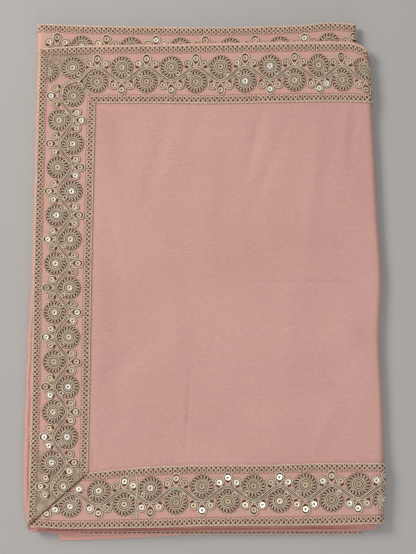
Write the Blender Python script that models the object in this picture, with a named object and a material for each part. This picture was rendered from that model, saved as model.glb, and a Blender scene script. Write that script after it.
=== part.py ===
"""A stole with embroidered lace borders, folded flat into six layers and laid face up.

The cloth is rolled flat from its inner end: the top layer runs from its own short end on the left,
over the right-hand fold and back under the stack.  The layers between are one rounded solid with
layered edges.  Sizes are in millimetres here and become metres when a mesh is made.
The origin is under the middle of the folded stole, +Z is up and +Y is towards its far lace edge.
"""

import math
from collections import namedtuple

import bpy
from mathutils.geometry import delaunay_2d_cdt

METRES = 0.001

# Cloth, lace and stack heights
CLOTH = 1.2
SEAM_GAP = 0.3
NET = 0.7
CORD_RAISE = 1.2
LAYER_LIP = 1.4
LAYER_PITCH = 1.9
HIDDEN_LAYERS = 5
LEDGE_TOP = HIDDEN_LAYERS * LAYER_PITCH - (LAYER_PITCH - LAYER_LIP)
AIR = 0.4
BORDER_Z = LEDGE_TOP + SEAM_GAP + NET + CORD_RAISE + AIR + CLOTH / 2
FIELD_DROP = 1.8
REST_CLEARANCE = 0.45
FOLD_RADIUS = (BORDER_Z - CLOTH / 2) / 2

# Lace strip, measured across from its outer edge
LACE_WIDTH = 61.0
CHAIN_WIDTH = 7.8
CHAIN_SLOPE = 0.4
ROSETTE_RADIUS = 11.8
ROSETTE_EYE = 4.6
ROSETTE_OFFSET = 8.4
WALL_SLOPE = 0.4
LOBE_RADIUS = 4.1
LOBE_SIDE = 8.3
LOBE_SIDE_OFFSET = 10.9
LOBE_MIDDLE_OFFSET = 15.8
VINE_WIDTH = 3.6
VINE_SWING = 7.5
VINE_STEPS = 8
ROSETTE_SIDES = 12
SMALL_SIDES = 6
LACE_MIDDLE = LACE_WIDTH / 2

# Room along the strip that each motif keeps to a mitred end
ROSETTE_ROOM = (ROSETTE_RADIUS + 1.2) * math.sqrt(2)
TREFOIL_ROOM = LOBE_SIDE + LOBE_RADIUS + 6.0
VINE_ROOM = 10.0
END_ROOM = 4.0

# Panel layout
BORDER_FLAT = 63.5
BORDER_FALL = 26.0
TUCK_LENGTH = 32.0
ARC_STEPS = 7
LACE_ARC_STEPS = 5
FOLD_START = 172.0
FOLD_EASE = 60.0
PAD_INSET = 8.0
BACK_LACE_TUCK = 5.0

Station = namedtuple("Station", "at value")
Crease = namedtuple("Crease", "x y heading length width height")
Layer = namedtuple("Layer", "name far near left right")
Motifs = namedtuple("Motifs", "first period count")

# Outermost x of the top layer, by share of the way from the near edge to the far edge
LEFT_EDGE = [
    Station(0.00, -175.0),
    Station(0.25, -173.2),
    Station(0.50, -174.0),
    Station(0.75, -173.5),
    Station(1.00, -172.3),
]
RIGHT_FOLD = [
    Station(0.00, 177.8),
    Station(0.10, 180.9),
    Station(0.25, 180.5),
    Station(0.37, 178.9),
    Station(0.505, 182.2),
    Station(0.62, 179.9),
    Station(0.79, 177.2),
    Station(1.00, 173.2),
]
# y of the top layer's two long edges, by x, and the x where the far corner starts to slump
SLUMP_START = 152.0
FAR_EDGE = [
    Station(-173.0, 239.0),
    Station(-130.0, 242.4),
    Station(-46.0, 244.2),
    Station(60.0, 246.4),
    Station(122.0, 247.2),
    Station(SLUMP_START, 247.0),
    Station(166.0, 242.5),
    Station(178.0, 234.0),
    Station(200.0, 231.0),
]
NEAR_EDGE = [
    Station(-175.0, -255.6),
    Station(-139.0, -258.0),
    Station(-53.0, -257.2),
    Station(4.0, -255.4),
    Station(95.0, -254.8),
    Station(178.0, -253.1),
    Station(200.0, -252.6),
]
# Inner edges of the three lace strips, and the hem margin outside the far one
LEFT_INNER = [
    Station(0.10, -116.0),
    Station(0.25, -115.3),
    Station(0.50, -115.0),
    Station(0.75, -114.1),
    Station(0.87, -113.4),
]
FAR_INNER = [
    Station(-113.0, 179.4),
    Station(-56.0, 179.6),
    Station(4.0, 178.9),
    Station(58.0, 180.0),
    Station(142.0, 181.2),
    Station(174.0, 180.2),
]
NEAR_INNER = [
    Station(-116.0, -203.2),
    Station(-84.0, -199.7),
    Station(-54.0, -197.2),
    Station(4.0, -195.4),
    Station(56.0, -195.3),
    Station(116.0, -193.6),
    Station(181.0, -193.3),
]
FAR_MARGIN = [Station(-173.0, 0.4), Station(-60.0, 1.5), Station(60.0, 2.0)]
# The slump and the flat of the far border both reach a little past its inner edge
FAR_FLAT_END = 178.0
# The two long edges near the middle of their length, from which shares of the width are taken
NEAR_MIDDLE = -257.2
FAR_MIDDLE = 246.4

# Soft ridges (positive) and troughs (negative) in the plain field
CREASES = [
    Crease(x=110.0, y=-4.0, heading=0.0, length=150.0, width=10.0, height=1.5),
    Crease(x=-70.0, y=-2.0, heading=-4.0, length=90.0, width=14.0, height=0.6),
    Crease(x=-88.0, y=-165.0, heading=78.0, length=45.0, width=9.0, height=0.9),
    Crease(x=118.0, y=-125.0, heading=-52.0, length=60.0, width=18.0, height=0.9),
    Crease(x=20.0, y=90.0, heading=84.0, length=120.0, width=34.0, height=-0.7),
    Crease(x=20.0, y=-95.0, heading=96.0, length=90.0, width=30.0, height=-0.6),
]

# Distances in from an edge, across the border and down its fall, where the panel has lines of points
BORDER_STEPS = [0.0, 22.0, 43.0, BORDER_FLAT - 1.0, 71.0, 80.0, 91.0]
CREASE_STEPS = [-75.0, -32.0, -16.0, -7.0, 0.0, 7.0, 16.0, 32.0, 75.0]
FIELD_SHARES = [0.24, 0.30, 0.70, 0.77]
FIELD_STEPS = 8

# The hidden layers from the top down: their four edges, as stations along each side.
# far and near run by x, left and right run by share of the height.
ROLL_LEFT = [
    Station(0.00, -173.5),
    Station(0.05, -180.0),
    Station(0.10, -181.4),
    Station(0.32, -180.0),
    Station(0.52, -176.9),
    Station(0.75, -176.2),
    Station(1.00, -175.8),
]
LAYERS = [
    Layer(
        "turn_two",
        far=[
            Station(-174.0, 268.0),
            Station(-110.0, 265.4),
            Station(4.0, 263.8),
            Station(100.0, 266.2),
            Station(133.0, 269.4),
            Station(160.0, 267.5),
        ],
        near=[Station(-172.0, -248.0), Station(160.0, -249.0)],
        left=ROLL_LEFT,
        right=[Station(0.0, 160.5), Station(1.0, 159.5)],
    ),
    Layer(
        "inner_turn",
        far=[Station(-172.0, 257.0), Station(160.0, 255.0)],
        near=[Station(-172.0, -251.0), Station(160.0, -250.0)],
        left=ROLL_LEFT,
        right=[Station(0.0, 164.0), Station(1.0, 154.0)],
    ),
    Layer(
        "near_band",
        far=[Station(-172.0, 250.0), Station(160.0, 252.0)],
        near=[
            Station(-172.0, -261.0),
            Station(-60.0, -260.7),
            Station(96.0, -259.6),
            Station(172.0, -258.8),
        ],
        left=ROLL_LEFT,
        right=[Station(0.0, 172.0), Station(1.0, 158.0)],
    ),
    Layer(
        "near_chain",
        far=[Station(-172.0, 254.0), Station(160.0, 249.0)],
        near=[
            Station(-172.0, -257.5),
            Station(-122.0, -258.0),
            Station(-112.0, -264.0),
            Station(160.0, -264.4),
        ],
        left=ROLL_LEFT,
        right=[Station(0.0, 161.5), Station(1.0, 156.0)],
    ),
    Layer(
        "near_wedge",
        far=[Station(-172.0, 248.0), Station(160.0, 253.0)],
        near=[
            Station(-172.0, -256.0),
            Station(-150.0, -257.5),
            Station(-143.0, -269.4),
            Station(-91.0, -267.8),
            Station(4.0, -262.5),
            Station(60.0, -258.0),
            Station(160.0, -256.0),
        ],
        left=ROLL_LEFT,
        right=[Station(0.0, 137.0), Station(1.0, 130.0)],
    ),
]
PAD_RIGHT = [Station(0.0, 156.0), Station(1.0, 154.0)]
PAD_LIFT = 0.05
PAD_ROUND = 0.6
PAD_MARGIN = 5.0
PAD_STEPS = BORDER_STEPS[1:] + [125.0, 160.0, 195.0, 230.0, 265.0, 300.0]
LIP_ROUND = 0.5
GROOVE_DEPTH = 5.0
UNDER_CHAIN_WIDTH = 2.2

# Motifs along each strip: centre of the first rosette near the outer edge, spacing and number.
# The rosettes near the inner edge lie half a period further on.
FAR_MOTIFS = Motifs(first=-86.0, period=51.7, count=5)
LEFT_MOTIFS = Motifs(first=-192.9, period=50.57, count=8)
NEAR_MOTIFS = Motifs(first=-130.5, period=51.5, count=6)
BACK_MOTIFS = Motifs(first=-128.7, period=52.1, count=6)

# Colours and finishes
PEACH = (0.72, 0.40, 0.33, 1.0)
ANTIQUE_GOLD = (0.52, 0.43, 0.30, 1.0)
CLOTH_ROUGHNESS = 0.65
LACE_ROUGHNESS = 0.45


def clear_scene():
    for obj in list(bpy.data.objects):
        bpy.data.objects.remove(obj, do_unlink=True)


def slopes_of(rows):
    """The slope at each station that keeps the curve between the values of its neighbours."""
    steps = []
    for a, b in zip(rows, rows[1:]):
        steps.append((b.value - a.value) / (b.at - a.at))
    slopes = [steps[0]]
    for before, after in zip(steps, steps[1:]):
        same_way = before * after > 0
        slopes.append(2 * before * after / (before + after) if same_way else 0.0)
    slopes.append(steps[-1])
    return slopes


def through(rows, at):
    """The value at a place on the smooth curve through a table of stations."""
    if at <= rows[0].at:
        return rows[0].value
    if at >= rows[-1].at:
        return rows[-1].value
    slopes = slopes_of(rows)
    for i, (a, b) in enumerate(zip(rows, rows[1:])):
        if at <= b.at:
            break
    span = b.at - a.at
    t = (at - a.at) / span
    rise = t * t * (3 - 2 * t)
    lead = t * (1 - t) * (1 - t)
    trail = -t * t * (1 - t)
    curve = a.value + (b.value - a.value) * rise
    return curve + span * (slopes[i] * lead + slopes[i + 1] * trail)


def smooth(t):
    t = min(1.0, max(0.0, t))
    return t * t * (3 - 2 * t)


# The top layer's middle surface
def share_up(y):
    """How far y is from the near edge to the far edge, from 0 to 1."""
    return min(1.0, max(0.0, (y - NEAR_MIDDLE) / (FAR_MIDDLE - NEAR_MIDDLE)))


def left_edge(y):
    return through(LEFT_EDGE, share_up(y))


def lace_rise(x, y):
    """1 over the lace borders, which stand on the lace of the layers below, falling to 0 in the field."""
    from_far = FAR_FLAT_END + BORDER_FLAT - y
    inwards = min(x - left_edge(y), from_far, y - near_edge(x))
    return 1 - smooth((inwards - BORDER_FLAT) / BORDER_FALL)


def crease_height(x, y):
    height = 0.0
    for c in CREASES:
        turn = math.radians(c.heading)
        along = (x - c.x) * math.cos(turn) + (y - c.y) * math.sin(turn)
        across = (y - c.y) * math.cos(turn) - (x - c.x) * math.sin(turn)
        height += c.height * math.exp(-((2 * along / c.length) ** 2) - (across / c.width) ** 2)
    return height


def panel_height(x, y):
    """Height of the middle of the top layer's cloth."""
    rise = lace_rise(x, y)
    return BORDER_Z - (1 - rise) * (FIELD_DROP - crease_height(x, y))


def fold_at(y):
    """Where the right-hand fold starts, its radius and the height of its centre, at the cloth's middle."""
    outermost = through(RIGHT_FOLD, share_up(y)) - CLOTH / 2
    start = outermost - BORDER_Z / 2
    radius = (panel_height(start, y) - CLOTH / 2) / 2
    return outermost - radius, radius, CLOTH / 2 + radius


def far_slump(along, y):
    """The far edge's drop over the fold, which dies out at the lace's inner line."""
    flat_edge = far_edge(along)
    drop = through(FAR_EDGE, along) - flat_edge
    return drop * smooth((y - FAR_FLAT_END) / (flat_edge - FAR_FLAT_END))


def panel_point(along, y, out):
    """A point on the top layer: along is x as far as the fold and then the length round it and under."""
    start, radius, centre = fold_at(y)
    y_here = y + far_slump(along, y)
    if along <= start:
        return (along, y_here, panel_height(along, y) + out)
    turned = (along - start) / radius
    if turned <= math.pi:
        reach = radius + out
        return (start + reach * math.sin(turned), y_here, centre + reach * math.cos(turned))
    return (start - (turned - math.pi) * radius, y_here, CLOTH / 2 - out)


def far_edge(along):
    """y of the far edge before the corner's slump."""
    return through(FAR_EDGE, min(along, SLUMP_START))


def near_edge(along):
    return through(NEAR_EDGE, along)


# Meshes
def finish_material(name, colour, roughness, metallic):
    material = bpy.data.materials.new(name)
    material.use_nodes = True
    shader = material.node_tree.nodes["Principled BSDF"]
    shader.inputs["Base Color"].default_value = colour
    shader.inputs["Roughness"].default_value = roughness
    shader.inputs["Metallic"].default_value = metallic
    return material


def add_object(name, points, faces, material):
    mesh = bpy.data.meshes.new(name)
    mesh.from_pydata([tuple(c * METRES for c in p) for p in points], [], faces)
    mesh.validate()
    mesh.materials.append(material)
    obj = bpy.data.objects.new(name, mesh)
    bpy.context.scene.collection.objects.link(obj)
    return obj


def triangulate(flat_points, edges, outline):
    """Triangles inside an outline that keep every point and edge given."""
    made = delaunay_2d_cdt(flat_points, edges, [outline], 1, 1e-5)
    points, faces, origins = made[0], made[2], made[3]
    index = []
    for number, origin in enumerate(origins):
        if not origin:
            place = tuple(round(c, 2) for c in points[number])
            raise ValueError(f"two outlines cross at {place}")
        index.append(origin[0])
    triangles = []
    for face in faces:
        a, b, c = (flat_points[index[i]] for i in face)
        area = (b[0] - a[0]) * (c[1] - a[1]) - (b[1] - a[1]) * (c[0] - a[0])
        corners = [index[i] for i in face]
        triangles.append(corners if area > 0 else corners[::-1])
    return triangles


def wall_of(top, bottom, top_faces, bottom_faces, rim):
    """One closed body from two faced sheets that share the numbering of their rim."""
    shift = len(top)
    faces = [list(face) for face in top_faces]
    faces += [[i + shift for i in reversed(face)] for face in bottom_faces]
    for a, b in zip(rim, rim[1:] + rim[:1]):
        faces.append([a, a + shift, b + shift])
        faces.append([a, b + shift, b])
    return top + bottom, faces


# The top layer
def across_shares():
    """Shares of the width at which the top layer has a line of points, closer at borders and crease."""
    width = FAR_MIDDLE - NEAR_MIDDLE
    shares = [d / width for d in BORDER_STEPS]
    shares += [(CREASES[0].y + d - NEAR_MIDDLE) / width for d in CREASE_STEPS]
    shares += FIELD_SHARES
    shares += [1 - d / width for d in BORDER_STEPS]
    return sorted(shares)


def along_places(y):
    """Places along one line of the top layer, from the short end to the end of the tuck."""
    left = left_edge(y)
    start, radius, _ = fold_at(y)
    places = [left + d for d in BORDER_STEPS]
    last = places[-1]
    places += [last + (start - last) * i / FIELD_STEPS for i in range(1, FIELD_STEPS + 1)]
    places += [start + math.pi * radius * i / ARC_STEPS for i in range(1, ARC_STEPS + 1)]
    places.append(start + math.pi * radius + TUCK_LENGTH)
    return places


def top_panel(material):
    outer, inner = [], []
    shares = across_shares()
    for share in shares:
        row = along_places(NEAR_MIDDLE + share * (FAR_MIDDLE - NEAR_MIDDLE))
        for along in row:
            y = near_edge(along) + share * (far_edge(along) - near_edge(along))
            outer.append(panel_point(along, y, CLOTH / 2))
            inner.append(panel_point(along, y, -CLOTH / 2))
    columns, rows = len(row), len(shares)
    top_faces = []
    for j in range(rows - 1):
        for i in range(columns - 1):
            a = j * columns + i
            top_faces.append([a, a + 1, a + columns + 1])
            top_faces.append([a, a + columns + 1, a + columns])
    rim = list(range(columns))
    rim += [j * columns + columns - 1 for j in range(1, rows)]
    rim += [(rows - 1) * columns + i for i in range(columns - 2, -1, -1)]
    rim += [j * columns for j in range(rows - 2, 0, -1)]
    points, faces = wall_of(outer, inner, top_faces, top_faces, rim)
    return add_object("top_layer", points, faces, material)


# The hidden layers: shares of each side at which their rings have points
SIDE_SHARES = [0.0, 0.03, 0.08, 0.14, 0.22, 0.32, 0.42, 0.52, 0.62, 0.72, 0.82, 0.92, 1.0]
NEAR_SHARES = [0.0, 0.06, 0.085, 0.15, 0.18, 0.25, 0.34, 0.45, 0.53, 0.62, 0.72, 0.82, 0.92, 1.0]
FAR_SHARES = [0.0, 0.1, 0.2, 0.35, 0.53, 0.68, 0.82, 0.92, 1.0]
CORNER_SHARE = 0.012


def rounded_square():
    """Places (across, up) from 0 to 1 round the stack, anticlockwise from the near left corner."""
    r = CORNER_SHARE
    straight = 1 - 2 * r
    ring = [(r + s * straight, 0.0) for s in NEAR_SHARES]
    ring += [(1.0, r + s * straight) for s in SIDE_SHARES]
    ring += [(1 - r - s * straight, 1.0) for s in FAR_SHARES]
    ring += [(0.0, r + s * straight) for s in reversed(SIDE_SHARES)]
    return ring


def ring_of(layer, z, inset_ends, inset_left, inset_right):
    """One ring of a layer's outline at height z, drawn in by the insets at its sides."""
    points = []
    for s, b in rounded_square():
        left = through(layer.left, b) + inset_left
        right = through(layer.right, b) - inset_right
        x = left + s * (right - left)
        low = through(layer.near, x) + inset_ends
        high = through(layer.far, x) - inset_ends
        points.append((x, low + b * (high - low), z))
    return points


def roll_inset(z):
    """How far the roll's left side draws in at height z: it is one round fold from floor to ledge."""
    radius = LEDGE_TOP / 2
    return radius - math.sqrt(max(0.0, radius * radius - (z - radius) ** 2))


def pad_layer():
    """The bulk of lace and cloth just under the top layer, drawn in from its edges."""
    return Layer(
        "pad",
        far=[Station(s.at, s.value - PAD_INSET) for s in FAR_EDGE if s.at <= SLUMP_START],
        near=[Station(s.at, s.value + PAD_INSET) for s in NEAR_EDGE],
        left=[Station(s.at, s.value + PAD_INSET) for s in LEFT_EDGE],
        right=PAD_RIGHT,
    )


def under_panel(x, y):
    """Height that the pad reaches, just below the top layer's cloth."""
    return panel_height(x, y) - CLOTH / 2 - REST_CLEARANCE


def stack_rings():
    """Rings from the floor up to the pad's top edge."""
    rings = []
    for k, layer in enumerate(reversed(LAYERS)):
        low = k * LAYER_PITCH
        high = low + LAYER_LIP
        for z, inset in ((low, LIP_ROUND), ((low + high) / 2, 0.0), (high, LIP_ROUND)):
            rings.append(ring_of(layer, z, inset, roll_inset(z), inset))
        if k + 1 < HIDDEN_LAYERS:
            z = (high + low + LAYER_PITCH) / 2
            rings.append(ring_of(layer, z, GROOVE_DEPTH, roll_inset(z), LIP_ROUND))
    pad = pad_layer()
    rings.append(ring_of(pad, LEDGE_TOP + PAD_LIFT, 0.0, 0.0, 0.0))
    crown = ring_of(pad, 0.0, PAD_ROUND, PAD_ROUND, PAD_ROUND)
    rings.append([(x, y, under_panel(x, y)) for x, y, _ in crown])
    return rings


def pad_grid(ring):
    """Places inside the pad's top that let it follow the field's hollow and creases."""
    pad_x = [p[0] for p in ring]
    pad_y = [p[1] for p in ring]
    rows = [NEAR_MIDDLE + share * (FAR_MIDDLE - NEAR_MIDDLE) for share in across_shares()]
    inside = []
    for y in rows:
        for x in [left_edge(0.0) + d for d in PAD_STEPS]:
            in_x = min(pad_x) + PAD_MARGIN < x < max(pad_x) - PAD_MARGIN
            in_y = min(pad_y) + 2 * PAD_MARGIN < y < max(pad_y) - 2 * PAD_MARGIN
            if in_x and in_y:
                inside.append((x, y))
    return inside


def folded_layers(material):
    rings = stack_rings()
    count = len(rings[0])
    points = [p for ring in rings for p in ring]
    faces = []
    for k in range(len(rings) - 1):
        for i in range(count):
            a = k * count + i
            b = k * count + (i + 1) % count
            faces.append([a, b, b + count])
            faces.append([a, b + count, a + count])
    flat_bottom = [(p[0], p[1]) for p in rings[0]]
    rim = list(range(count))
    rim_edges = [(i, (i + 1) % count) for i in rim]
    for face in triangulate(flat_bottom, rim_edges, rim):
        faces.append(face[::-1])
    top_ring = rings[-1]
    grid = pad_grid(top_ring)
    flat_top = [(p[0], p[1]) for p in top_ring] + grid
    first = (len(rings) - 1) * count
    for face in triangulate(flat_top, rim_edges, rim):
        faces.append([first + i for i in face])
    points += [(x, y, under_panel(x, y)) for x, y in grid]
    return add_object("folded_layers", points, faces, material)


# Lace strips, laid out flat as (along, across) and then placed on the cloth
class Strip:
    """A lace strip's flat plan: its points with their raise above the net, and the lines they keep."""

    def __init__(self):
        self.points = []
        self.raises = []
        self.edges = []

    def add(self, place, height):
        self.points.append(place)
        self.raises.append(height)
        return len(self.points) - 1

    def line(self, places, height):
        indices = [self.add(p, height) for p in places]
        self.edges += list(zip(indices, indices[1:]))
        return indices

    def loop(self, places, height):
        indices = self.line(places, height)
        self.edges.append((indices[-1], indices[0]))
        return indices


def circle(centre, radius, sides):
    ring = []
    for i in range(sides):
        angle = 2 * math.pi * i / sides
        ring.append((centre[0] + radius * math.cos(angle), centre[1] + radius * math.sin(angle)))
    return ring


def clipped(polygon, limit):
    """The part of a convex polygon whose across value is below a limit."""
    kept = []
    for (ax, ay), (bx, by) in zip(polygon, polygon[1:] + polygon[:1]):
        if ay <= limit:
            kept.append((ax, ay))
        if (ay < limit) != (by < limit):
            t = (limit - ay) / (by - ay)
            kept.append((ax + t * (bx - ax), limit))
    return kept


def add_rosette(strip, centre, limit=None):
    """A raised wheel with a sunk eye. A limit cuts off what lies under the top layer."""
    foot = circle(centre, ROSETTE_RADIUS, ROSETTE_SIDES)
    crown = circle(centre, ROSETTE_RADIUS - WALL_SLOPE, ROSETTE_SIDES)
    if limit is None:
        strip.loop(foot, 0.0)
        strip.loop(crown, CORD_RAISE)
        strip.loop(circle(centre, ROSETTE_EYE, SMALL_SIDES), CORD_RAISE)
        strip.loop(circle(centre, ROSETTE_EYE - WALL_SLOPE, SMALL_SIDES), CORD_RAISE / 3)
        return
    strip.loop(clipped(foot, limit), 0.0)
    strip.loop(clipped(crown, limit - WALL_SLOPE), CORD_RAISE)


def add_lobe(strip, place):
    """One sequinned loop, as a low dome."""
    strip.loop(circle(place, LOBE_RADIUS, SMALL_SIDES), 0.0)
    strip.add(place, CORD_RAISE)


def add_trefoil(strip, along, side):
    """Three sequinned loops; side is the way they point, 1 to the strip's inner edge."""
    add_lobe(strip, (along - LOBE_SIDE, LACE_MIDDLE + side * LOBE_SIDE_OFFSET))
    add_lobe(strip, (along + LOBE_SIDE, LACE_MIDDLE + side * LOBE_SIDE_OFFSET))
    add_lobe(strip, (along, LACE_MIDDLE + side * LOBE_MIDDLE_OFFSET))


def add_vine(strip, first, period, low, high):
    """The corded stem that winds between the rosettes, as a raised band with sloping sides."""
    half = VINE_WIDTH / 2
    begin = math.ceil((low - first) / period * VINE_STEPS)
    end = math.floor((high - first) / period * VINE_STEPS)
    sides = {half: [], half - WALL_SLOPE: [], WALL_SLOPE - half: [], -half: []}
    for i in range(begin, end + 1):
        phase = 2 * math.pi * i / VINE_STEPS
        along = first + period * i / VINE_STEPS
        slope = -VINE_SWING * 2 * math.pi / period * math.sin(phase)
        length = math.hypot(1.0, slope)
        across = LACE_MIDDLE + VINE_SWING * math.cos(phase)
        for offset, line in sides.items():
            line.append((along - offset * slope / length, across + offset / length))
    strip.loop(sides[half] + sides[-half][::-1], 0.0)
    crown = sides[half - WALL_SLOPE][1:-1] + sides[WALL_SLOPE - half][1:-1][::-1]
    strip.loop(crown, CORD_RAISE)


def add_motifs(strip, motifs, low_edge, high_edge):
    """The rosettes, trefoils and vine that lie whole between a strip's two ends."""
    for half_step in range(-3, 2 * motifs.count + 4):
        along = motifs.first + motifs.period * half_step / 2
        side = 1 if half_step % 2 == 0 else -1
        across = LACE_MIDDLE - side * ROSETTE_OFFSET
        if low_edge(across) + ROSETTE_ROOM < along < high_edge(across) - ROSETTE_ROOM:
            add_rosette(strip, (along, across))
        across = LACE_MIDDLE + side * LOBE_SIDE_OFFSET
        if low_edge(across) + TREFOIL_ROOM < along < high_edge(across) - TREFOIL_ROOM:
            add_trefoil(strip, along, side)
    low = low_edge(LACE_MIDDLE) + VINE_ROOM
    high = high_edge(LACE_MIDDLE) - VINE_ROOM
    add_vine(strip, motifs.first, motifs.period, low, high)


RIB_LINES = [
    (0.0, CORD_RAISE),
    (CHAIN_WIDTH - CHAIN_SLOPE, CORD_RAISE),
    (CHAIN_WIDTH, 0.0),
    (LACE_WIDTH - CHAIN_WIDTH, 0.0),
    (LACE_WIDTH - CHAIN_WIDTH + CHAIN_SLOPE, CORD_RAISE),
    (LACE_WIDTH, CORD_RAISE),
]
BEND_LINES = [(19.0, 0.0), (LACE_MIDDLE, 0.0), (43.0, 0.0)]
FLOOR_LINES = [RIB_LINES[2]] + BEND_LINES + [RIB_LINES[3]]
# Places along the strips where their chain lines have points, and across where the underside has
LONG_STEPS = [-140.0 + 31.0 * i for i in range(10)]
SHORT_STEPS = [-205.0 + 41.0 * i for i in range(11)]
FLOOR_ACROSS = [20.0, 41.0]
# How far past the fold's start a long strip's motifs may still be planned
FOLD_ROOM = 3.0


def strip_frame(strip, low_edge, high_edge, flat_places, bend_places):
    """The strip's outline and chain ribs. Lines across it at the bend places let it go round a fold."""
    lines = []
    for across, height in RIB_LINES:
        places = [low_edge(across)]
        low, high = low_edge(across) + END_ROOM, high_edge(across) - END_ROOM
        inner = [p for p in flat_places if low < p < high]
        places += inner + bend_places
        if not bend_places:
            places.append(high_edge(across))
        lines.append(strip.line([(p, across) for p in places], height))
    first, last = lines[0], lines[-1]
    for a, b in zip(lines, lines[1:]):
        strip.edges.append((a[0], b[0]))
    outline = list(first)
    for number in range(len(bend_places)):
        column = [line[number - len(bend_places)] for line in lines]
        middle = [strip.add((bend_places[number], w), h) for w, h in BEND_LINES]
        column = column[:3] + middle + column[3:]
        strip.edges += list(zip(column, column[1:]))
    if bend_places:
        outline += column[1:-1]
    else:
        column = [line[-1] for line in lines]
        strip.edges += list(zip(column, column[1:]))
        outline += column[1:-1]
    outline += last[::-1]
    outline += [line[0] for line in lines[1:-1]][::-1]
    return outline


def close_strip(name, strip, outline, place, floor_places, material, bends=()):
    """The solid strip: net and cords above, and a plain underside through a few places.

    The underside has a kept line across it at each bend, so that it goes round the fold too.
    """
    number = {old: new for new, old in enumerate(outline)}
    for old in range(len(strip.points)):
        number.setdefault(old, len(number))
    order = sorted(number, key=number.get)
    flat = [strip.points[old] for old in order]
    raises = [strip.raises[old] for old in order]
    edges = [(number[a], number[b]) for a, b in strip.edges]
    rim = list(range(len(outline)))
    top_faces = triangulate(flat, edges, rim)
    base = CLOTH / 2 + SEAM_GAP
    top = [place(p[0], p[1], base + NET + h) for p, h in zip(flat, raises)]
    rim_edges = list(zip(rim, rim[1:] + rim[:1]))
    floor_flat = flat[: len(rim)] + floor_places
    for bend in bends:
        column = [flat.index((bend, 0.0))]
        for across, _ in FLOOR_LINES:
            column.append(len(floor_flat))
            floor_flat.append((bend, across))
        column.append(flat.index((bend, LACE_WIDTH)))
        rim_edges += list(zip(column, column[1:]))
    bottom_faces = triangulate(floor_flat, rim_edges, rim)
    bottom = [place(p[0], p[1], base) for p in floor_flat]
    points, faces = wall_of(top, bottom, top_faces, bottom_faces, rim)
    if name in TURNED_OVER:
        faces = [face[::-1] for face in faces]
    return add_object(name, points, faces, material)


# Strips whose plan runs the other way round, so that their faces are turned over
TURNED_OVER = ("lace_far", "lace_left", "lace_back", "lace_under")


def in_step(along, y):
    """Eases a strip's place so that it turns the fold in step with the cloth all along its width."""
    start, radius, _ = fold_at(y)
    if along > FOLD_START:
        return start + (along - FOLD_START) * radius / FOLD_RADIUS
    share = max(0.0, 1 - (FOLD_START - along) / FOLD_EASE)
    return along + share * (start - FOLD_START)


def part_way(outer, inner, across):
    """The place at a distance across a strip that may be pulled a little wider or narrower."""
    return outer + (inner - outer) * across / LACE_WIDTH


def left_inner(y):
    return through(LEFT_INNER, share_up(y))


def far_place(along, across, out):
    outer = far_edge(along) - through(FAR_MARGIN, along)
    y = part_way(outer, through(FAR_INNER, along), across)
    return panel_point(in_step(along, y), y, out)


def near_place(along, across, out):
    y = part_way(near_edge(along), through(NEAR_INNER, along), across)
    return panel_point(in_step(along, y), y, out)


def left_place(along, across, out):
    return panel_point(part_way(left_edge(along), left_inner(along), across), along, out)


def side_of(line, point):
    """Positive where a point lies on the left of a line's two ends."""
    (ax, ay), (bx, by) = line
    return (bx - ax) * (point[1] - ay) - (by - ay) * (point[0] - ax)


def on_mitre(across, mitre, place, guess):
    """Where along a strip its line at a distance across meets the mitre."""
    low, high = guess - 100.0, guess + 100.0
    low_side = side_of(mitre, place(low, across, 0.0))
    for _ in range(50):
        middle = (low + high) / 2
        if (side_of(mitre, place(middle, across, 0.0)) > 0) == (low_side > 0):
            low = middle
        else:
            high = middle
    return (low + high) / 2


def mitre_line(place, along):
    """A mitre's two ends in plan, from where the left strip's and another strip's edges cross."""
    outer = place(along, 0.0, 0.0)
    inner = place(along + LACE_WIDTH, LACE_WIDTH, 0.0)
    return (outer[0], outer[1]), (left_inner(inner[1]), inner[1])


def long_strip(name, place, mitre, motifs, material):
    """A long border's strip, from its mitred corner over the fold and part of the way under."""
    half_seam = SEAM_GAP * math.sqrt(2) / 2

    def low(across):
        return on_mitre(across, mitre, place, mitre[0][0]) + half_seam

    def high(across):
        return FOLD_START + FOLD_ROOM

    step = math.pi * FOLD_RADIUS / ARC_STEPS
    bends = [FOLD_START + step * i for i in range(LACE_ARC_STEPS + 1)]
    strip = Strip()
    outline = strip_frame(strip, low, high, LONG_STEPS, bends)
    add_motifs(strip, motifs, low, high)
    floor = [(p, w) for p in LONG_STEPS for w in FLOOR_ACROSS if p > low(w) + 2 * END_ROOM]
    return close_strip(name, strip, outline, place, floor, material, bends[:-1])


def short_strip(far_mitre, near_mitre, material):
    """The short border's strip, mitred at both ends."""
    half_seam = SEAM_GAP * math.sqrt(2) / 2

    def low(across):
        return on_mitre(across, near_mitre, left_place, near_mitre[0][1]) + half_seam

    def high(across):
        return on_mitre(across, far_mitre, left_place, far_mitre[0][1]) - half_seam

    strip = Strip()
    outline = strip_frame(strip, low, high, SHORT_STEPS, [])
    add_motifs(strip, LEFT_MOTIFS, low, high)
    floor = []
    for across in FLOOR_ACROSS:
        start, end = low(across) + 2 * END_ROOM, high(across) - 2 * END_ROOM
        floor += [(p, across) for p in SHORT_STEPS if start < p < end]
    return close_strip("lace_left", strip, outline, left_place, floor, material)


def lace_strips(material):
    far_mitre = mitre_line(far_place, LEFT_EDGE[-1].value)
    near_mitre = mitre_line(near_place, LEFT_EDGE[0].value)
    return [
        long_strip("lace_far", far_place, far_mitre, FAR_MOTIFS, material),
        long_strip("lace_near", near_place, near_mitre, NEAR_MOTIFS, material),
        short_strip(far_mitre, near_mitre, material),
    ]


# Lace that shows from under the top layer
BACK_STEPS = [-170.5] + [-150.0 + 28.0 * i for i in range(11)] + [157.5]
BACK_FLOOR_ACROSS = 12.0
UNDER_STEPS = [-108.0 + 26.6 * i for i in range(11)]


def back_edge(x):
    return through(LAYERS[0].far, x)


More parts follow.
